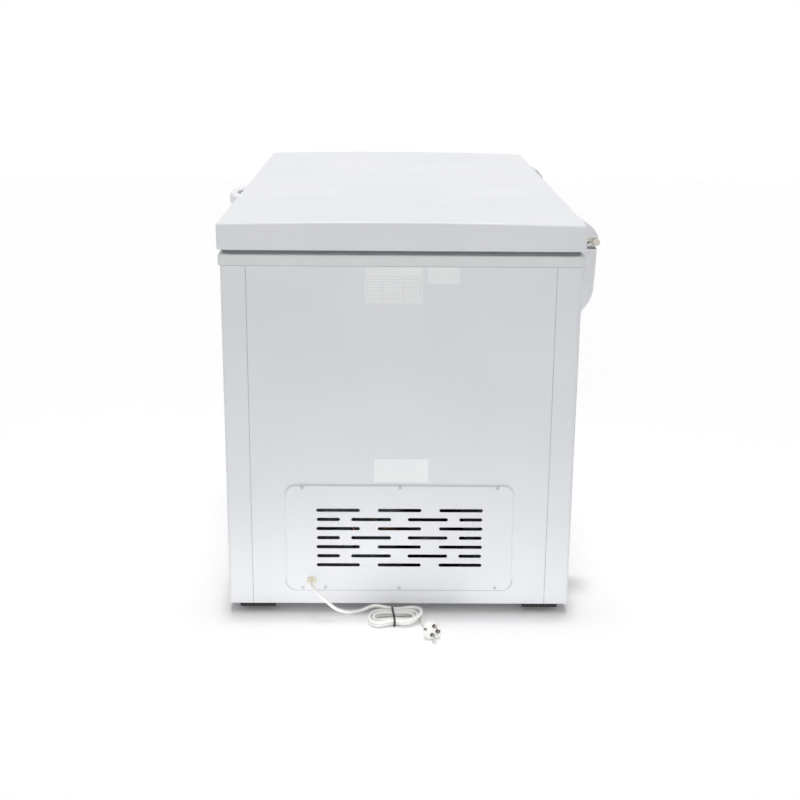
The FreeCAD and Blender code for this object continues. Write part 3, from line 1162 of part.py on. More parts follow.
def plug(face):
    """The moulded mains plug, its ribbed relief and its two pins, modelled nose to +X."""
    body = newBody("plug_body")
    section = sketchOn(body, "plug_section", "XZ")
    r, back, long = d.plugRadius, d.plugBack, d.plugLength
    outline(section, [
        (-long, 0), (-long, back - 1.5), (1.5 - long, back), (-0.55 * long, back + 1), (-0.32 * long, r - 0.6),
        (-0.25 * long, r), (-1.2, r), (0, r - 1.2), (0, 0)])
    revolved(body, section, "plug_turned", "H_Axis")
    spread = d.plugPinSpread / 2
    bores = sketchOn(body, "plug_bores", "YZ", 1)
    circle(bores, spread, 0, d.plugPinRoot)
    circle(bores, -spread, 0, d.plugPinRoot)
    pocket(body, bores, d.plugPinSeat + 1, "plug_pin_seats")
    earth = sketchOn(body, "plug_earth", "YZ", 1)
    circle(earth, 0, -d.earthDrop, d.plugEarthRadius)
    pocket(body, earth, 17, "plug_earth_socket")
    for word, low, high in (("upper", 0.72 * r, 1.1 * r), ("lower", -1.1 * r, -0.72 * r)):
        clip = sketchOn(body, f"plug_clip_{word}", "XZ")
        rectangle(clip, -14, low, 1, high)
        pocket(body, clip, 6, f"plug_clip_notch_{word}", both=True)
    keep("plug_body", body)

    relief = newBody("plug_relief")
    side = sketchOn(relief, "relief_section", "XZ")
    start, step = -(long + d.reliefLength), d.reliefLength / 6
    corners = [(start, 0)]
    for k in range(6):
        wide = d.reliefRadius + 0.55 * k
        at = start + step * k
        corners += [(at, wide), (at + step * 0.6, wide + 0.5)]
        if k < 5:
            corners += [(at + step * 0.6, wide - 1), (at + step, wide - 0.8)]
    corners += [(-long, d.reliefRadius + 3.2), (-long, 0)]
    outline(side, corners)
    revolved(relief, side, "relief_turned", "H_Axis")
    keep("plug_relief", relief)

    pins = newBody("plug_pins")
    for word, base, radius, long in (("root", -d.plugPinSeat, d.plugPinRoot, d.plugPinSeat + 1),
                                     ("pin", 0 * d.plugPinSeat, d.plugPinRadius, d.plugPinLength)):
        for sign in (-1, 1):
            pinSection = sketchOn(pins, f"plug_{word}_{sign + 1}", "YZ", base)
            circle(pinSection, sign * spread, 0, radius)
            pad(pins, pinSection, long, f"plug_{word}_pad_{sign + 1}")
    soften(pins, 1.6, "plug_pin_noses", lambda edge: edge.BoundBox.XMin > float(d.plugPinLength) - 0.01)
    keep("plug_pins", pins)
    for piece in (body, relief, pins):
        piece.Placement = Placement(face, plugTurn)


frontWrap()
keep("back_wrap", wrapPanel("back_wrap", 1))
compressorEndPanel()
plainEndPanel()
basePan()
insideTank()
cabinetFoam()
evaporatorTube()
bayWall()
collarTrim()
lidShell()
lidInside()
lidGasket()
lidHandle()
hinge("right", lidLength / 2 - d.hingeInset)
hinge("left", -(lidLength / 2 - d.hingeInset))
grilleCover()
grilleScrews()
grommet()
compressor()
bayPipes()
feet()
controls()
supplyCord()

doc.recompute()
failed = [item.Name for item in doc.Objects if "Invalid" in item.State or "Error" in item.State]
for name, piece in nodes.items():
    if piece.Shape.isNull() or not piece.Shape.isValid() or not piece.Shape.Solids:
        failed.append(name)
if failed:
    raise RuntimeError("not built: " + ", ".join(failed))

os.makedirs("parts", exist_ok=True)
for name, piece in nodes.items():
    piece.Shape.exportStep(f"parts/{name}.step")
print(f"{len(nodes)} sub-parts written")
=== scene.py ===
from math import copysign, cos, exp, pi, radians, sin

import bpy
from mathutils import Euler, Matrix, Vector


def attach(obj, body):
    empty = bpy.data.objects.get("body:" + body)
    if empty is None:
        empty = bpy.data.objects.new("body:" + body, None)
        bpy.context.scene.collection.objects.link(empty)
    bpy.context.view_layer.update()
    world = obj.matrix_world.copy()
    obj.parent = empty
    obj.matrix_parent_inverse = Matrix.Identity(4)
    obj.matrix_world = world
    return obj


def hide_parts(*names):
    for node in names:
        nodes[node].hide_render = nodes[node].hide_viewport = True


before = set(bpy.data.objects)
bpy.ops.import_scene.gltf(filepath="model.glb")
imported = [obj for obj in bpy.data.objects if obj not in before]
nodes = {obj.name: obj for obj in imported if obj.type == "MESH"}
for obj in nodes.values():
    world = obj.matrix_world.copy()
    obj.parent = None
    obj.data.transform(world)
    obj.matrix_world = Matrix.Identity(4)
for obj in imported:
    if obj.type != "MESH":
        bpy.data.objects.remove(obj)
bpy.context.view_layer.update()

mm = 0.001
print("frame loaded:", len(nodes), "nodes")


# small helpers for materials

def srgb(code):
    # a hex colour as the screen shows it, turned to the linear values that a shader takes
    parts = [int(code[k:k + 2], 16) / 255 for k in (1, 3, 5)]
    return tuple(p / 12.92 if p <= 0.04045 else ((p + 0.055) / 1.055) ** 2.4 for p in parts) + (1.0,)


def addNode(tree, kind, settings=None, numbered=None, **links):
    # settings go on the node or on its sockets; links name a socket and what feeds it, and sockets
    # that share one name are given by number
    node = tree.nodes.new("ShaderNode" + kind)
    for name, value in (settings or {}).items():
        if name == "stops":
            ramp = node.color_ramp.elements
            for stop, (at, code) in zip((ramp[0], ramp[1]), value):
                stop.position, stop.color = at, srgb(code)
        elif isinstance(name, int) or name in node.inputs:
            node.inputs[name].default_value = value
        else:
            setattr(node, name, value)
    for name, source in [*(numbered or {}).items(), *links.items()]:
        tree.links.new(source, node.inputs[name])
    return node


def newMaterial(name, colour, roughness, **sockets):
    # the shader with its even values, and where patterns read their place
    material = bpy.data.materials.new(name)
    material.use_nodes = True
    tree = material.node_tree
    shader = tree.nodes["Principled BSDF"]
    shader.inputs["Base Color"].default_value = srgb(colour)
    shader.inputs["Roughness"].default_value = roughness
    for socket, value in sockets.items():
        shader.inputs[socket.replace("_", " ")].default_value = value
    return material, tree, shader, addNode(tree, "TexCoord").outputs["Object"]


def dress(tree, shader, tint, skin, satin=None):
    # patterns of colour, relief and gloss, each to its socket
    tree.links.new(tint.outputs["Color"], shader.inputs["Base Color"])
    tree.links.new(skin.outputs["Normal"], shader.inputs["Normal"])
    if satin:
        tree.links.new(satin.outputs["Result"], shader.inputs["Roughness"])


def perMetre(size):
    return 1000 / size      # a pattern of this many millimetres, as a texture scale


# small helpers for pieces; sizes and places are in millimetres

def deselect():
    if bpy.context.mode != "OBJECT":
        bpy.ops.object.mode_set(mode="OBJECT")
    bpy.ops.object.select_all(action="DESELECT")


def choose(piece, kind, test):
    # edit mode with only the parts that pass the test selected; test gets a part's points
    if bpy.context.mode != "EDIT_MESH":
        bpy.ops.object.mode_set(mode="EDIT")
    bpy.ops.mesh.select_mode(type=kind)
    bpy.ops.mesh.select_all(action="DESELECT")
    bpy.ops.object.mode_set(mode="OBJECT")
    points = piece.data.vertices
    parts = {"VERT": points, "EDGE": piece.data.edges, "FACE": piece.data.polygons}[kind]
    for part in parts:
        spots = [part.co] if kind == "VERT" else [points[k].co for k in part.vertices]
        part.select = bool(test(spots))
    bpy.ops.object.mode_set(mode="EDIT")


def everyPart(spots):
    return True


def sized(size):
    # the primitive just added, brought to its size and with its place in its mesh
    bpy.context.object.scale = size
    bpy.ops.object.transform_apply(location=True, rotation=True, scale=True)
    return bpy.context.object


def addBox(middle, size, turn=0):
    deselect()
    bpy.ops.mesh.primitive_cube_add(size=1, location=[v * mm for v in middle], rotation=(0, 0, radians(turn)))
    return sized([v * mm for v in size])


def addSheet(middle, size, turn=(0, 0, 0)):
    deselect()
    bpy.ops.mesh.primitive_plane_add(size=1, location=[v * mm for v in middle],
                                     rotation=[radians(a) for a in turn])
    return sized((size[0] * mm, size[1] * mm, 1))


def roundOutline(sheet, corner):
    # only the sheet's outline stays, with round corners, selected in edit mode
    choose(sheet, "VERT", everyPart)
    bpy.ops.mesh.bevel(offset=corner * mm, segments=6, affect="VERTICES")
    bpy.ops.mesh.delete(type="ONLY_FACE")
    bpy.ops.mesh.select_all(action="SELECT")


def drawWall(way):
    # the selected outline drawn out into a wall, with its faces outwards
    bpy.ops.mesh.extrude_region_move(TRANSFORM_OT_translate={"value": [v * mm for v in way]})
    bpy.ops.mesh.select_all(action="SELECT")
    bpy.ops.mesh.normals_make_consistent(inside=False)


def applyModifier(piece, kind, **settings):
    if bpy.context.mode != "OBJECT":
        bpy.ops.object.mode_set(mode="OBJECT")
    bpy.context.view_layer.objects.active = piece
    modifier = piece.modifiers.new(kind.title(), kind)
    for name, value in settings.items():
        setattr(modifier, name, value)
    bpy.ops.object.modifier_apply(modifier=modifier.name)


def softenEdges(piece, width, angle):
    applyModifier(piece, "BEVEL", width=width * mm, segments=2, limit_method="ANGLE",
                  angle_limit=radians(angle))


def joinPieces(pieces):
    deselect()
    for piece in pieces:
        piece.select_set(True)
    bpy.context.view_layer.objects.active = pieces[0]
    bpy.ops.object.join()
    return pieces[0]


def settle(piece, name, material, body, angle=35):
    # place goes into the mesh, then finish, smoothing and what it rides on
    deselect()
    piece.name = piece.data.name = name
    piece.select_set(True)
    bpy.context.view_layer.objects.active = piece
    bpy.ops.object.transform_apply(location=True, rotation=True, scale=True)
    bpy.ops.object.shade_smooth_by_angle(angle=radians(angle))
    piece.data.materials.clear()
    piece.data.materials.append(material)
    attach(piece, body)
    return piece


# camera: the photograph's place, turn and lens
view = {"place": (3.3024, -0.0313, 1.2439), "turn": (73.6694, -0.4642, 89.4737), "lens": 59.11, "film": 36}

bpy.ops.object.camera_add(location=view["place"], rotation=[radians(a) for a in view["turn"]])
camera = bpy.context.object
camera.data.lens = view["lens"]
camera.data.sensor_width = view["film"]
camera.data.clip_end = 60
bpy.context.scene.camera = camera
print("camera placed")


# supply cord: from the grommet down to its hank on the floor, and on to the plug
cord = {
    "thick": 7.2,
    "route": [(699.7, -187.5, 72.7), (717, -187, 72.5), (732, -178, 66.5), (741, -163.5, 56),
              (743, -150, 43.5), (739, -138.5, 31), (730.5, -125.5, 20), (719, -110.5, 11.6),
              (708.5, -95, 7.6), (702, -79.5, 7.6)],
    "tail": [(744.3, 49.9, 3.7), (755.8, 52.8, 6.0)],
    "leadIn": 18, "start": 0.17, "end": 4.46, "pointsPerTurn": 24,
    # the hank's middle, half its length, its half widths at the ends and at the tied waist, the waist's
    # length as a share of the hank's, and how full the sides bow (less than 1 is fuller)
    "middle": (738, -9.5), "reach": 59, "lobe": 52.5, "waist": 32, "waistLong": 0.51, "bow": 0.91,
    # how far each turn lies inside the one before, and what the three sizes lose by it
    "pitch": 8.8, "loops": 2.5, "reachNest": 0.93, "lobeNest": 1.48, "waistNest": 1.03,
    # how the left and the right end swell, lean away from the cabinet and stretch along it
    "leftSwell": 0.13, "rightSwell": -0.08, "leftLean": 4.5, "rightLean": -6.5, "stretch": 3,
    # the two layers' heights, the part of a turn in which one gives way to the other, the arch over
    # the waist, and where loose turns lift: at which turn, how high, over how much of it
    "upper": 11.5, "lower": 3.7, "dropTurn": 0.5, "arch": 1.5, "archLong": 0.45,
    "lifted": [(0.15, 4.5, 0.07), (0.5, 8, 0.13)],
}


def hankPoint(turns):
    # a point of the wound part, so many turns after its left end: two layers of dog-bone loops
    inset = cord["pitch"] * min(turns, 2 * cord["loops"] - turns)
    along, side = -cos(2 * pi * turns), sin(2 * pi * turns)
    narrowing = exp(-(along / cord["waistLong"]) ** 2)
    left, right = (1 - along) / 2 * (1 - narrowing), (1 + along) / 2 * (1 - narrowing)
    lobe = (cord["lobe"] - cord["lobeNest"] * inset) * (1 - narrowing)
    waist = (cord["waist"] - cord["waistNest"] * inset) * narrowing
    wide = (lobe + waist) * (1 + cord["leftSwell"] * left + cord["rightSwell"] * right)
    drop = min(max((turns - cord["loops"]) / cord["dropTurn"] + 0.5, 0), 1)
    drop = drop * drop * (3 - 2 * drop)
    arch = cord["arch"] * exp(-(along / cord["archLong"]) ** 2)
    loose = sum(up * exp(-((turns - at) / spread) ** 2) for at, up, spread in cord["lifted"])
    return Vector((cord["middle"][0] - copysign(abs(side) ** cord["bow"], side) * wide
                   + cord["leftLean"] * left + cord["rightLean"] * right,
                   cord["middle"][1] + (cord["reach"] - cord["reachNest"] * inset) * along
                   + cord["stretch"] * (right - left),
                   cord["upper"] + (cord["lower"] - cord["upper"]) * drop + arch + loose))


heading = (hankPoint(cord["start"] + 0.001) - hankPoint(cord["start"] - 0.001)).normalized()
count = round((cord["end"] - cord["start"]) * cord["pointsPerTurn"])
turns = [cord["start"] + (cord["end"] - cord["start"]) * k / count for k in range(count + 1)]
route = [Vector(p) for p in cord["route"]] + [hankPoint(cord["start"]) - heading * cord["leadIn"]]
route += [hankPoint(t) for t in turns] + [Vector(p) for p in cord["tail"]]

line = bpy.data.curves.new("mainsCord", "CURVE")
line.dimensions = "3D"
spline = line.splines.new("NURBS")
spline.points.add(len(route) - 1)
for spot, point in zip(spline.points, route):
    spot.co = (*(point * mm), 1)
    spot.radius = cord["thick"] / 2 * mm
spline.order_u = 3
spline.use_endpoint_u = True
line.resolution_u = 8
line.bevel_depth = 1      # times each point's radius, so that the curve's box fits the cord
line.bevel_resolution = 6
line.use_fill_caps = True
mainsCord = bpy.data.objects.new("mainsCord", line)
bpy.context.scene.collection.objects.link(mainsCord)
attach(mainsCord, "cabinet")
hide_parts("power_cord", "cord_hank", "cord_tail")
print("cord laid:", len(route), "points")


# finishes

def enamelledSteel():
    # polyester enamel sprayed on sheet steel and baked: satin gloss with a slow haze, fine orange
    # peel, and a tint that drifts a little across each large panel
    coat = {"light": "#E9EAED", "dark": "#E4E6EA", "gloss": 0.33, "peel": 2.4, "haze": 60, "drift": 260}
    material, tree, shader, place = newMaterial("enamelledSteel", coat["light"], coat["gloss"])
    drift = addNode(tree, "TexNoise", {"Scale": perMetre(coat["drift"]), "Detail": 1}, Vector=place)
    tint = addNode(tree, "ValToRGB", {"stops": [(0.35, coat["dark"]), (0.65, coat["light"])]},
                   Fac=drift.outputs["Fac"])
    haze = addNode(tree, "TexNoise", {"Scale": perMetre(coat["haze"]), "Detail": 4}, Vector=place)
    satin = addNode(tree, "MapRange", {"From Min": 0.3, "From Max": 0.7, "To Min": coat["gloss"] - 0.03,
                                       "To Max": coat["gloss"] + 0.05}, Value=haze.outputs["Fac"])
    peel = addNode(tree, "TexNoise", {"Scale": perMetre(coat["peel"]), "Detail": 1}, Vector=place)
    skin = addNode(tree, "Bump", {"Strength": 0.35, "Distance": 0.00002}, Height=peel.outputs["Fac"])
    dress(tree, shader, tint, skin, satin)
    return material


def stuccoAluminium():
    # aluminium sheet embossed with a stucco roller and painted: 6.5 mm pebbles under a soft gloss
    sheet = {"light": "#E6E8EA", "dark": "#DADCDF", "gloss": 0.34, "pebble": 6.5, "warp": 9, "depth": 0.00035}
    material, tree, shader, place = newMaterial("stuccoAluminium", sheet["light"], sheet["gloss"])
    warp = addNode(tree, "TexNoise", {"Scale": perMetre(sheet["warp"]), "Detail": 1}, Vector=place)
    cells = addNode(tree, "TexVoronoi", {"feature": "SMOOTH_F1", "Scale": perMetre(sheet["pebble"]),
                                         "Smoothness": 0.7}, Vector=place)
    both = addNode(tree, "Math", {"operation": "MULTIPLY_ADD", 1: 0.6},
                   {0: warp.outputs["Fac"], 2: cells.outputs["Distance"]})
    tint = addNode(tree, "ValToRGB", {"stops": [(0.2, sheet["light"]), (0.95, sheet["dark"])]},
                   Fac=both.outputs["Value"])
    skin = addNode(tree, "Bump", {"Strength": 0.8, "Distance": sheet["depth"]}, Height=both.outputs["Value"])
    dress(tree, shader, tint, skin)
    return material


def galvanisedSteel():
    # hot-dip zinc on sheet steel: 12 mm spangles, each grain a slightly different grey and gloss
    dip = {"light": "#B9BDC0", "dark": "#9CA1A5", "gloss": 0.42, "spangle": 12, "bloom": 1.5}
    material, tree, shader, place = newMaterial("galvanisedSteel", dip["light"], dip["gloss"], Metallic=1.0)
    grains = addNode(tree, "TexVoronoi", {"Scale": perMetre(dip["spangle"])}, Vector=place)
    tint = addNode(tree, "ValToRGB", {"stops": [(0.1, dip["dark"]), (0.9, dip["light"])]},
                   Fac=grains.outputs["Color"])
    satin = addNode(tree, "MapRange", {"To Min": dip["gloss"] - 0.08, "To Max": dip["gloss"] + 0.1},
                    Value=grains.outputs["Color"])
    bloom = addNode(tree, "TexNoise", {"Scale": perMetre(dip["bloom"]), "Detail": 3}, Vector=place)
    skin = addNode(tree, "Bump", {"Strength": 0.25, "Distance": 0.00005}, Height=bloom.outputs["Fac"])
    dress(tree, shader, tint, skin, satin)
    return material


def polyurethaneFoam():
    # rigid foam blown between the skins: buff, dull, with 1.5 mm cells and darker flow bands
    core = {"light": "#EADFB8", "dark": "#D8C893", "gloss": 0.9, "cell": 1.5, "flow": 45}
    material, tree, shader, place = newMaterial("polyurethaneFoam", core["light"], core["gloss"])
    flow = addNode(tree, "TexNoise", {"Scale": perMetre(core["flow"]), "Detail": 3}, Vector=place)
    cells = addNode(tree, "TexVoronoi", {"Scale": perMetre(core["cell"])}, Vector=place)
    tint = addNode(tree, "ValToRGB", {"stops": [(0.35, core["dark"]), (0.65, core["light"])]},
                   Fac=flow.outputs["Fac"])
    skin = addNode(tree, "Bump", {"Strength": 0.7, "Distance": 0.0004}, Height=cells.outputs["Distance"])
    dress(tree, shader, tint, skin)
    return material


def mouldedPlastic(name, light, dark, gloss, grit, depth=0.00003, clouds=35):
    # injection-moulded plastic: the tool's fine spark-eroded grit, and faint flow clouds in colour and
    # gloss; paint and print on such small pieces read alike
    material, tree, shader, place = newMaterial(name, light, gloss, IOR=1.53)
    flow = addNode(tree, "TexNoise", {"Scale": perMetre(clouds), "Detail": 2}, Vector=place)
    tint = addNode(tree, "ValToRGB", {"stops": [(0.3, dark), (0.7, light)]}, Fac=flow.outputs["Fac"])
    satin = addNode(tree, "MapRange", {"From Min": 0.3, "From Max": 0.7, "To Min": gloss - 0.04,
                                       "To Max": gloss + 0.05}, Value=flow.outputs["Fac"])
    spark = addNode(tree, "TexNoise", {"Scale": perMetre(grit), "Detail": 2}, Vector=place)
    skin = addNode(tree, "Bump", {"Strength": 0.5, "Distance": depth}, Height=spark.outputs["Fac"])
    dress(tree, shader, tint, skin, satin)
    return material


def metalFinish(name, light, dark, gloss, grain, depth, patch):
    # bare or plated metal: patches of tarnish or plating cloud over a fine drawn or tumbled grain
    material, tree, shader, place = newMaterial(name, light, gloss, Metallic=1.0)
    cloud = addNode(tree, "TexNoise", {"Scale": perMetre(patch), "Detail": 4}, Vector=place)
    tint = addNode(tree, "ValToRGB", {"stops": [(0.35, dark), (0.62, light)]}, Fac=cloud.outputs["Fac"])
    satin = addNode(tree, "MapRange", {"From Min": 0.35, "From Max": 0.65, "To Min": gloss + 0.1,
                                       "To Max": gloss - 0.05}, Value=cloud.outputs["Fac"])
    fine = addNode(tree, "TexNoise", {"Scale": perMetre(grain), "Detail": 3}, Vector=place)
    skin = addNode(tree, "Bump", {"Strength": 0.4, "Distance": depth}, Height=fine.outputs["Fac"])
    dress(tree, shader, tint, skin, satin)
    return material


enamel = enamelledSteel()
stucco = stuccoAluminium()
zinc = galvanisedSteel()
foam = polyurethaneFoam()
# formed sheet and moulded ABS: cool satin white, the handle's a touch brighter than the sheet's
whiteStyrene = mouldedPlastic("whiteStyrene", "#E4E6E7", "#E1E3E4", 0.38, 0.9)
handleAbs = mouldedPlastic("handleAbs", "#F1F2F4", "#EDEEF1", 0.36, 0.9)
# the hinge arms' baked paint, warmer than the cabinet's, with a wider peel
creamEnamel = mouldedPlastic("creamEnamel", "#EFEBDF", "#E8E3D4", 0.34, 2.0)
# soft extruded and dipped vinyl: duller than hard plastic, the seal grey and darkened further as painted
# shade for the gap it sits in, cord and plug warm white
shadedGasketVinyl = mouldedPlastic("shadedGasketVinyl", "#A0A3A6", "#989B9E", 0.5, 1.2)
cordVinyl = mouldedPlastic("cordVinyl", "#FBFAF8", "#F5F4F1", 0.42, 1.6, 0.00003, 18)
plugVinyl = mouldedPlastic("plugVinyl", "#FAF9F7", "#F4F3F0", 0.45, 0.8)
# nylon: black feet with a coarse grit, a black tie with a slight shine, a grommet left ivory
footNylon = mouldedPlastic("footNylon", "#151516", "#0F0F10", 0.5, 1.0, 0.00005)
tieNylon = mouldedPlastic("tieNylon", "#141414", "#0C0C0D", 0.38, 0.8)
grommetNylon = mouldedPlastic("grommetNylon", "#EEEAD6", "#E6E1CA", 0.42, 0.8)
# black ABS with an even sheen, grey ABS for the knob, and rubber with hardly any sheen
blackAbs = mouldedPlastic("blackAbs", "#17171A", "#101012", 0.42, 0.8)
knobAbs = mouldedPlastic("knobAbs", "#8C9096", "#83878D", 0.35, 0.7)
blackRubber = mouldedPlastic("blackRubber", "#1B1B1B", "#121212", 0.75, 0.7, 0.00008)
# the compressor's black dip paint: glossier, with a coarse peel and broad clouds
potEnamel = mouldedPlastic("potEnamel", "#111213", "#0A0B0C", 0.34, 3.0, 0.00006, 80)
# zinc bright and faintly clouded, nickel warm and darkened as painted shade so the plug's pins and clips read
# dark, copper browned in patches, mill aluminium pale
zincPlate = metalFinish("zincPlate", "#CFD1D3", "#B4B7B9", 0.34, 0.8, 0.00003, 14)
shadedNickel = metalFinish("shadedNickelPlate", "#A8A49B", "#8F8B82", 0.34, 0.6, 0.00001, 6)
copper = metalFinish("drawnCopper", "#A97A60", "#7A5341", 0.34, 0.8, 0.00003, 22)
aluminium = metalFinish("millAluminium", "#C9CBCD", "#B0B3B6", 0.38, 1.0, 0.00003, 30)
# amber lamp lenses, smooth as glass
lens = mouldedPlastic("lampLens", "#D9762B", "#C8651F", 0.15, 1.2)
# white label film with a soft gloss, and matt inks, light for the rules and dark for the dial
labelVinyl = mouldedPlastic("labelVinyl", "#F4F5F6", "#F0F1F2", 0.36, 3.0, 0.00001, 50)
ruleInk = mouldedPlastic("ruleInk", "#C2C6CA", "#BBBFC3", 0.5, 1.0, 0.00001)
dialInk = mouldedPlastic("dialInk", "#5A5E63", "#53575C", 0.5, 1.0, 0.00001)
# painted shade for the joints: the enamelled sheet that lies deep in a joint, coloured greyer than the sheet
# round it to stand in for the shade there
paintedJointShade = mouldedPlastic("paintedJointShade", "#B6B9BC", "#ACAFB2", 0.45, 1.5)

finishes = [
    (enamel, ["front_wrap", "back_wrap", "compressor_end_panel", "plain_end_panel", "lid_shell",
              "grille_cover"]),
    (stucco, ["tank_liner"]),
    (zinc, ["base_pan", "bay_wall", "compressor_plate"]),
    (foam, ["cabinet_foam", "lid_foam"]),
    (whiteStyrene, ["collar_trim", "lid_liner", "control_bezel"]),
    (handleAbs, ["lid_handle", "hinge_cover_left", "hinge_cover_right", "hinge_housing_left",
                 "hinge_housing_right"]),
    (creamEnamel, ["hinge_arm_left", "hinge_arm_right", "hinge_pin_left", "hinge_pin_right"]),
    (shadedGasketVinyl, ["lid_gasket"]),
    (footNylon, [n for n in nodes if "foot" in n]),
    (plugVinyl, ["plug_body", "plug_relief"]),
    (tieNylon, ["cord_tie"]),
    (grommetNylon, ["cord_grommet"]),
    (blackAbs, ["start_relay", "thermostat"]),
    (blackRubber, ["compressor_rubbers"]),
    (knobAbs, ["thermostat_knob"]),
    (potEnamel, ["compressor_pot"]),
    (zincPlate, ["hinge_bracket_left", "hinge_bracket_right", "grille_screws", "compressor_bolts"]),
    (shadedNickel, ["plug_pins"]),
    (copper, ["suction_pipe", "discharge_pipe", "filter_drier"]),
    (aluminium, ["evaporator_tube"]),
    (lens, ["signal_lamps"]),
]
for material, names in finishes:
    for name in names:
        mesh = nodes[name].data
        if len(mesh.materials):
            for k in range(len(mesh.materials)):
                mesh.materials[k] = material
        else:
            mesh.materials.append(material)
mainsCord.data.materials.append(cordVinyl)
print("finishes given")


# lid seal: a vinyl bellows round the lid, swept along its middle line
seal = {"halfX": 681.2, "halfY": 354.2, "corner": 10, "low": 782.4,
        "half": [(7.9, 0), (8.5, 0.6), (8.5, 2.4), (6.0, 3.5), (5.0, 4.6), (6.0, 5.7), (8.5, 6.8), (8.5, 8.5),
                 (7.9, 9.1)]}

track = addSheet((0, 0, 0), (2 * seal["halfX"], 2 * seal["halfY"]))
roundOutline(track, seal["corner"])
bpy.ops.object.mode_set(mode="OBJECT")
bpy.ops.object.convert(target="CURVE")
section = bpy.data.curves.new("sealSection", "CURVE")
section.dimensions = "2D"
edge = section.splines.new("POLY")
ring = seal["half"] + [(-u, v) for u, v in reversed(seal["half"])]
edge.points.add(len(ring) - 1)
for spot, (u, v) in zip(edge.points, ring):
    spot.co = (u * mm, v * mm, 0, 1)
edge.use_cyclic_u = True
sealSection = bpy.data.objects.new("sealSection", section)
bpy.context.scene.collection.objects.link(sealSection)
track.location.z = seal["low"] * mm      # on the object, as a flat curve keeps no height of its own
track.data.dimensions = "2D"
track.data.bevel_mode = "OBJECT"
track.data.bevel_object = sealSection
bpy.ops.object.convert(target="MESH")
bpy.data.objects.remove(sealSection)
choose(track, "VERT", everyPart)
bpy.ops.mesh.remove_doubles(threshold=0.00001)
bpy.ops.mesh.normals_make_consistent(inside=False)
lidSeal = settle(track, "lidSeal", shadedGasketVinyl, "lid", 30)
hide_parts("lid_gasket")
print("seal swept")


# seams: the enamelled edge of the fold that shows in each seam of the ends, in a grey that paints the shade
# deep in the seam
seam = {"face": 692.325, "thick": 0.55, "y": 314.4, "wide": 1.16, "low": 20.5, "high": 759.8, "round": 0.2}

for side, sideName in ((-1, "front"), (1, "back")):
    for end, endName in ((-1, "plain"), (1, "grille")):
        x, z = end * (seam["face"] - seam["thick"] / 2), (seam["low"] + seam["high"]) / 2
        strip = addBox((x, side * seam["y"], z), (seam["thick"], seam["wide"], seam["high"] - seam["low"]))
        choose(strip, "EDGE", lambda spots: abs(spots[0].z - spots[1].z) > 0.1)
        bpy.ops.mesh.bevel(offset=seam["round"] * mm, segments=2)
        settle(strip, f"seamEdge.{sideName}.{endName}", paintedJointShade, "cabinet")
print("seams filled")


# pan-head screws round the grille's rim, each with its cross recess, turned as the last driver left it
screw = {"radius": 3.6, "high": 1.75, "round": 0.8, "cross": 4.3, "slot": 0.95, "deep": 1.2, "face": 695.7,
         "spots": [(-206.5, 286.6, 12), (0, 286.6, 65), (206.5, 286.6, 31), (-206.5, 57.9, 48),
                   (-158.7, 57.9, 5), (0, 57.9, 77), (206.5, 57.9, 22)]}

deselect()
bpy.ops.mesh.primitive_cylinder_add(vertices=28, radius=screw["radius"] * mm, depth=screw["high"] * mm,
                                    location=(0, 0, screw["high"] / 2 * mm))
panHead = bpy.context.object
bpy.ops.object.transform_apply(location=True)
choose(panHead, "EDGE", lambda spots: min(p.z for p in spots) > (screw["high"] - 0.01) * mm)
bpy.ops.mesh.bevel(offset=screw["round"] * mm, segments=4)
for turn, taper in ((0, (0.45, 0.8, 1)), (90, (0.8, 0.45, 1))):
    cutter = addBox((0, 0, screw["high"]), (screw["cross"], screw["slot"], 2 * screw["deep"]), turn)
    choose(cutter, "FACE", lambda spots: max(p.z for p in spots) < screw["high"] * mm)
    bpy.ops.transform.resize(value=taper)
    applyModifier(panHead, "BOOLEAN", object=cutter, operation="DIFFERENCE", solver="EXACT")
    bpy.data.objects.remove(cutter)
heads = []
for y, z, turn in screw["spots"]:
    head = panHead.copy()
    head.data = panHead.data.copy()
    bpy.context.scene.collection.objects.link(head)
    head.data.transform(Matrix.Rotation(radians(turn), 4, "Z"))
    head.rotation_euler = (0, radians(90), 0)
    head.location = (screw["face"] * mm, y * mm, z * mm)
    heads.append(head)
bpy.data.objects.remove(panHead)
grilleScrews = settle(joinPieces(heads), "grilleScrews", zincPlate, "cabinet", 40)
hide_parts("grille_screws")
print("screws driven:", len(screw["spots"]))


# plain labels on the compressor end: a large one with an empty table, a small one and a square one
labels = {"face": 692.72, "thick": 0.16, "corner": 1.2,
          "places": {"ratingPlate": (-73.7, 42.9, 683.7, 757.4), "smallLabel": (53, 118, 724, 758),
                     "squareSticker": (-54.6, 59.4, 299, 350)}}
ruling = {"margin": 4, "rule": 0.35, "step": 5.6, "rules": 10, "columns": (-38, 4), "proud": 0.01}

for word, (y0, y1, z0, z1) in labels["places"].items():
    label = addBox((labels["face"] + labels["thick"] / 2, (y0 + y1) / 2, (z0 + z1) / 2),
                   (labels["thick"], y1 - y0, z1 - z0))
    choose(label, "EDGE", lambda spots: abs(spots[0].x - spots[1].x) > labels["thick"] / 2 * mm)
    bpy.ops.mesh.bevel(offset=labels["corner"] * mm, segments=4)
    settle(label, word, labelVinyl, "cabinet")

y0, y1, z0, z1 = labels["places"]["ratingPlate"]
left, right, foot = y0 + ruling["margin"], y1 - ruling["margin"], z0 + ruling["margin"]
tall = ruling["step"] * (ruling["rules"] - 1)
bars = [((left + right) / 2, foot + ruling["step"] * k, right - left, ruling["rule"])
        for k in range(ruling["rules"])]
bars += [(y, foot + tall / 2, ruling["rule"], tall) for y in (left, *ruling["columns"], right)]
inkX = labels["face"] + labels["thick"] + ruling["proud"]
ruled = [addSheet((inkX, y, z), (high, wide), (0, 90, 0)) for y, z, wide, high in bars]
settle(joinPieces(ruled), "plateRules", ruleInk, "cabinet")
print("labels stuck on, blank")


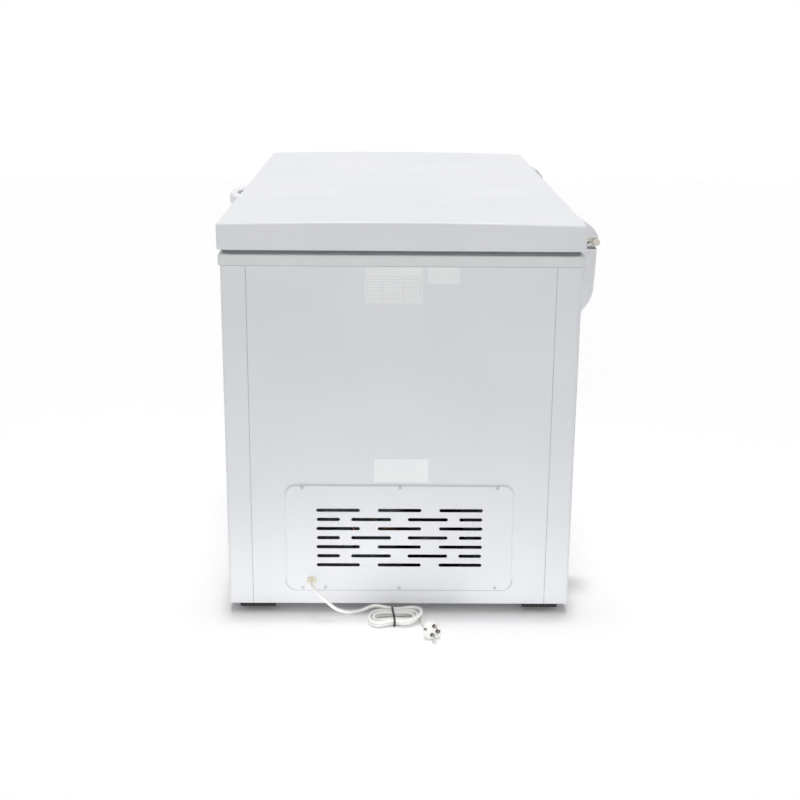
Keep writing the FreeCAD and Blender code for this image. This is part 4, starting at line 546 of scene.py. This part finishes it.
# dial: the numbers round the thermostat's knob
dial = {"x": 532.7, "y": -369.01, "z": 150, "ring": 21.6, "size": 5.2, "proud": 0.12, "last": 6,
        "sweep": 270}

deselect()
figures = []
for k in range(dial["last"] + 1):
    around = radians(dial["sweep"] * (k / dial["last"] - 0.5))
    x, z = dial["x"] + sin(around) * dial["ring"], dial["z"] + cos(around) * dial["ring"]
    bpy.ops.object.text_add(location=(x * mm, dial["y"] * mm, z * mm), rotation=(radians(90), 0, 0))
    figure = bpy.context.object
    figure.data.body = str(k)
    figure.data.size = dial["size"] * mm
    figure.data.extrude = dial["proud"] / 2 * mm
    figure.data.align_x, figure.data.align_y = "CENTER", "CENTER"
    bpy.ops.object.convert(target="MESH")
    figures.append(bpy.context.object)
settle(joinPieces(figures), "dialNumbers", dialInk, "cabinet")
print("dial numbered")


# cord tie: a nylon strap round the hank's waist with its small locking head
tie = {"middle": (738, -12), "turn": 5, "back": -34.9, "front": 30.4, "low": 0.15, "top": 18.45, "thick": 1.2,
       "wide": 4.2, "corner": 4.2, "edge": 0.3,
       "headAt": (10, 0, 17.25), "head": (4.6, 4.4, 3.4), "headEdge": 0.35, "mouthRim": 0.7, "mouthDeep": 1.5}

strap = addSheet(((tie["front"] + tie["back"]) / 2, tie["wide"] / 2, (tie["top"] + tie["low"]) / 2),
                 (tie["front"] - tie["back"], tie["top"] - tie["low"]), (90, 0, 0))
roundOutline(strap, tie["corner"])
drawWall((0, -tie["wide"], 0))
applyModifier(strap, "SOLIDIFY", thickness=tie["thick"] * mm, offset=-1)
softenEdges(strap, tie["edge"], 60)
catch = addBox(tie["headAt"], tie["head"])
mouth = tie["headAt"][0] + tie["head"][0] / 2
choose(catch, "FACE", lambda spots: min(p.x for p in spots) > (mouth - 0.1) * mm)
bpy.ops.mesh.inset(thickness=tie["mouthRim"] * mm)
bpy.ops.mesh.extrude_region_move(TRANSFORM_OT_translate={"value": (-tie["mouthDeep"] * mm, 0, 0)})
softenEdges(catch, tie["headEdge"], 40)
joinPieces([strap, catch])
strap.rotation_euler = (0, 0, radians(tie["turn"]))
strap.location = (tie["middle"][0] * mm, tie["middle"][1] * mm, 0)
cordTie = settle(strap, "cordTie", tieNylon, "cabinet", 30)
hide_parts("cord_tie")
print("tie drawn round the hank")


# painted collar shadow: a grey strip that paints the shade, the grey line that shows all round where the
# collar overlaps the sheet
joint = {"halfX": 692.7, "halfY": 366, "corner": 7, "low": 758.3, "high": 760, "proud": 0.45}

paintedCollarShadow = addSheet((0, 0, joint["low"]), (2 * joint["halfX"], 2 * joint["halfY"]))
roundOutline(paintedCollarShadow, joint["corner"])
drawWall((0, 0, joint["high"] - joint["low"]))
applyModifier(paintedCollarShadow, "SOLIDIFY", thickness=joint["proud"] * mm, offset=1)
settle(paintedCollarShadow, "paintedCollarShadow", paintedJointShade, "cabinet")
print("shadow joint laid")


# painted cover shadow: a grey strip that paints the thin shadow under the grille cover's lower edge and round
# its lower corners
under = {"face": 692.72, "thick": 0.2, "halfY": 243, "low": 51.5, "high": 293, "corner": 23, "wide": 1.7}

tall = under["high"] - under["low"] + 2 * under["wide"]
paintedCoverShadow = addSheet((under["face"], 0, (under["low"] + under["high"]) / 2),
                      (tall, 2 * (under["halfY"] + under["wide"])), (0, 90, 0))
choose(paintedCoverShadow, "VERT", everyPart)
bpy.ops.mesh.bevel(offset=(under["corner"] + under["wide"]) * mm, segments=8, affect="VERTICES")
bpy.ops.mesh.select_all(action="SELECT")
bpy.ops.mesh.inset(thickness=under["wide"] * mm)
bpy.ops.mesh.delete(type="FACE")
choose(paintedCoverShadow, "FACE", lambda spots: max(p.z for p in spots) > (under["low"] + under["corner"] + 1) * mm)
bpy.ops.mesh.delete(type="FACE")
applyModifier(paintedCoverShadow, "SOLIDIFY", thickness=under["thick"] * mm, offset=0)
settle(paintedCoverShadow, "paintedCoverShadow", paintedJointShade, "cabinet")
print("cover joint laid")


# foot lips: the ribbed nylon edge of each corner plate, brought out to the end sheets
lip = {"back": 685.7, "front": 692.1, "y": 305, "half": 38, "low": 12, "high": 19.9, "ribs": 7, "wall": 1.1,
       "deep": 2, "edge": 0.3}

for end, endName in ((-1, "left"), (1, "right")):
    for side, sideName in ((-1, "front"), (1, "back")):
        x, z = end * (lip["back"] + lip["front"]) / 2, (lip["low"] + lip["high"]) / 2
        footLip = addBox((x, side * lip["y"], z),
                         (lip["front"] - lip["back"], 2 * lip["half"], lip["high"] - lip["low"]))
        choose(footLip, "EDGE", lambda spots: abs(spots[0].y - spots[1].y) > lip["half"] * mm)
        bpy.ops.mesh.subdivide(number_cuts=lip["ribs"] - 1)
        choose(footLip, "FACE", lambda spots: min(p.x * end for p in spots) > (lip["front"] - 0.1) * mm)
        bpy.ops.mesh.inset(thickness=lip["wall"] * mm, depth=-lip["deep"] * mm, use_individual=True)
        softenEdges(footLip, lip["edge"], 40)
        settle(footLip, f"footLip.{sideName}.{endName}", footNylon, "cabinet")
print("foot lips made")


# plug: dark rings of painted shade round its pins and earth socket, and the steel earth clips in its notches,
# in nickel darkened as painted shade
plug = {"face": (824.297, 69.85, 20.015), "turn": (75, -11.2, 14),
        "shadeRings": [(-9.5, 0, 2.5, 4.0), (9.5, 0, 2.5, 4.0), (0, -10, 2.7, 4.4)], "shadeProud": 0.15,
        "clipAt": 15.6, "clip": (12.5, 4.6, 1.1), "clipEdge": 0.4}
plugTurn = Euler([radians(a) for a in plug["turn"]], "XYZ").to_matrix().to_4x4()
plugPlace = Matrix.Translation(Vector(plug["face"]) * mm) @ plugTurn

shadeRings = []
for y, z, hole, rim in plug["shadeRings"]:
    deselect()
    bpy.ops.mesh.primitive_circle_add(vertices=28, radius=rim * mm, fill_type="NGON",
                                      location=(plug["shadeProud"] * mm, y * mm, z * mm),
                                      rotation=(0, radians(90), 0))
    shadeRing = bpy.context.object
    bpy.ops.object.transform_apply(location=True, rotation=True)
    choose(shadeRing, "FACE", everyPart)
    bpy.ops.mesh.inset(thickness=(rim - hole) * mm)
    bpy.ops.mesh.delete(type="FACE")
    applyModifier(shadeRing, "SOLIDIFY", thickness=2 * plug["shadeProud"] * mm, offset=0)
    shadeRings.append(shadeRing)
joinPieces(shadeRings).matrix_world = plugPlace
plugPinShade = settle(shadeRings[0], "plugPinShade", blackAbs, "cabinet")

clips = []
for side in (-1, 1):
    clip = addBox((-plug["clip"][0] / 2, 0, side * plug["clipAt"]), plug["clip"])
    applyModifier(clip, "BEVEL", width=plug["clipEdge"] * mm, segments=2)
    clips.append(clip)
joinPieces(clips).matrix_world = plugPlace
plugClips = settle(clips[0], "plugClips", shadedNickel, "cabinet")
print("plug contacts fitted")


# light and floor: an even white surround, a sharp and a soft lamp overhead, one in front, and what the
# white table throws back at the foot of the end; lamps give name, power, turn and spread in degrees,
# table gives place, turn about Y, the two sides and power
light = {"ambient": 0.38, "floorWhite": 0.07,
         "lamps": [("overhead", 0.8, (0, -2.9, 0), 4), ("softbox", 0.8, (0, -8, 0), 24),
                   ("front", 0.4, (4, 60, 0), 75)],
         "table": [((0.91, -0.31, 0.002), 180, 0.4, 0.42, 0.34), ((0.91, 0.345, 0.002), 180, 0.4, 0.42, 0.38),
                   ((1.02, -0.04, 0.045), 96, 0.05, 0.16, 0.17)]}

world = bpy.data.worlds.new("studio")
bpy.context.scene.world = world
world.use_nodes = True
sky = world.node_tree
sky.nodes.clear()
ray = addNode(sky, "LightPath")
seen = addNode(sky, "Math", {"operation": "ADD", "use_clamp": True},
               {0: ray.outputs["Is Camera Ray"], 1: ray.outputs["Is Transmission Ray"]})
glossy = addNode(sky, "Math", {"operation": "ADD", "use_clamp": True},
                 {0: seen.outputs["Value"], 1: ray.outputs["Is Glossy Ray"]})
level = addNode(sky, "MapRange", {"To Min": light["ambient"], "To Max": 1.0}, Value=glossy.outputs["Value"])
backdrop = addNode(sky, "Background", {"Color": (1, 1, 1, 1)}, Strength=level.outputs["Result"])
addNode(sky, "OutputWorld", Surface=backdrop.outputs["Background"])

for lamp, power, turn, spread in light["lamps"]:
    bpy.ops.object.light_add(type="SUN", location=(0, 0, 5), rotation=[radians(a) for a in turn])
    bpy.context.object.name = lamp
    bpy.context.object.data.energy = power
    bpy.context.object.data.angle = radians(spread)

for place, turn, deep, wide, power in light["table"]:
    bpy.ops.object.light_add(type="AREA", location=place, rotation=(0, radians(turn), 0))
    tableGlow = bpy.context.object
    tableGlow.data.shape = "RECTANGLE"
    tableGlow.data.size, tableGlow.data.size_y = deep, wide
    tableGlow.data.energy = power
    tableGlow.visible_camera = False

deselect()
bpy.ops.mesh.primitive_plane_add(size=14, location=(0, 0, 0))
floor = bpy.context.object
floor.name = "floor"
paper = bpy.data.materials.new("studioPaper")      # matt white paper, lifted a little where it is seen
paper.use_nodes = True
tree = paper.node_tree
tree.nodes.clear()
ray = addNode(tree, "LightPath")
matt = addNode(tree, "BsdfDiffuse", {"Color": srgb("#FBFBFB")})
seen = addNode(tree, "Math", {"operation": "ADD", "use_clamp": True},
               {0: ray.outputs["Is Camera Ray"], 1: ray.outputs["Is Glossy Ray"]})
lift = addNode(tree, "MapRange", {"To Min": 0.0, "To Max": light["floorWhite"]}, Value=seen.outputs["Value"])
glow = addNode(tree, "Emission", {"Color": (1, 1, 1, 1)}, Strength=lift.outputs["Result"])
both = addNode(tree, "AddShader", None, {0: matt.outputs["BSDF"], 1: glow.outputs["Emission"]})
addNode(tree, "OutputMaterial", Surface=both.outputs["Shader"])
floor.data.materials.append(paper)
bpy.context.scene.view_settings.view_transform = "Standard"
print("floor and light ready")

bpy.context.view_layer.update()
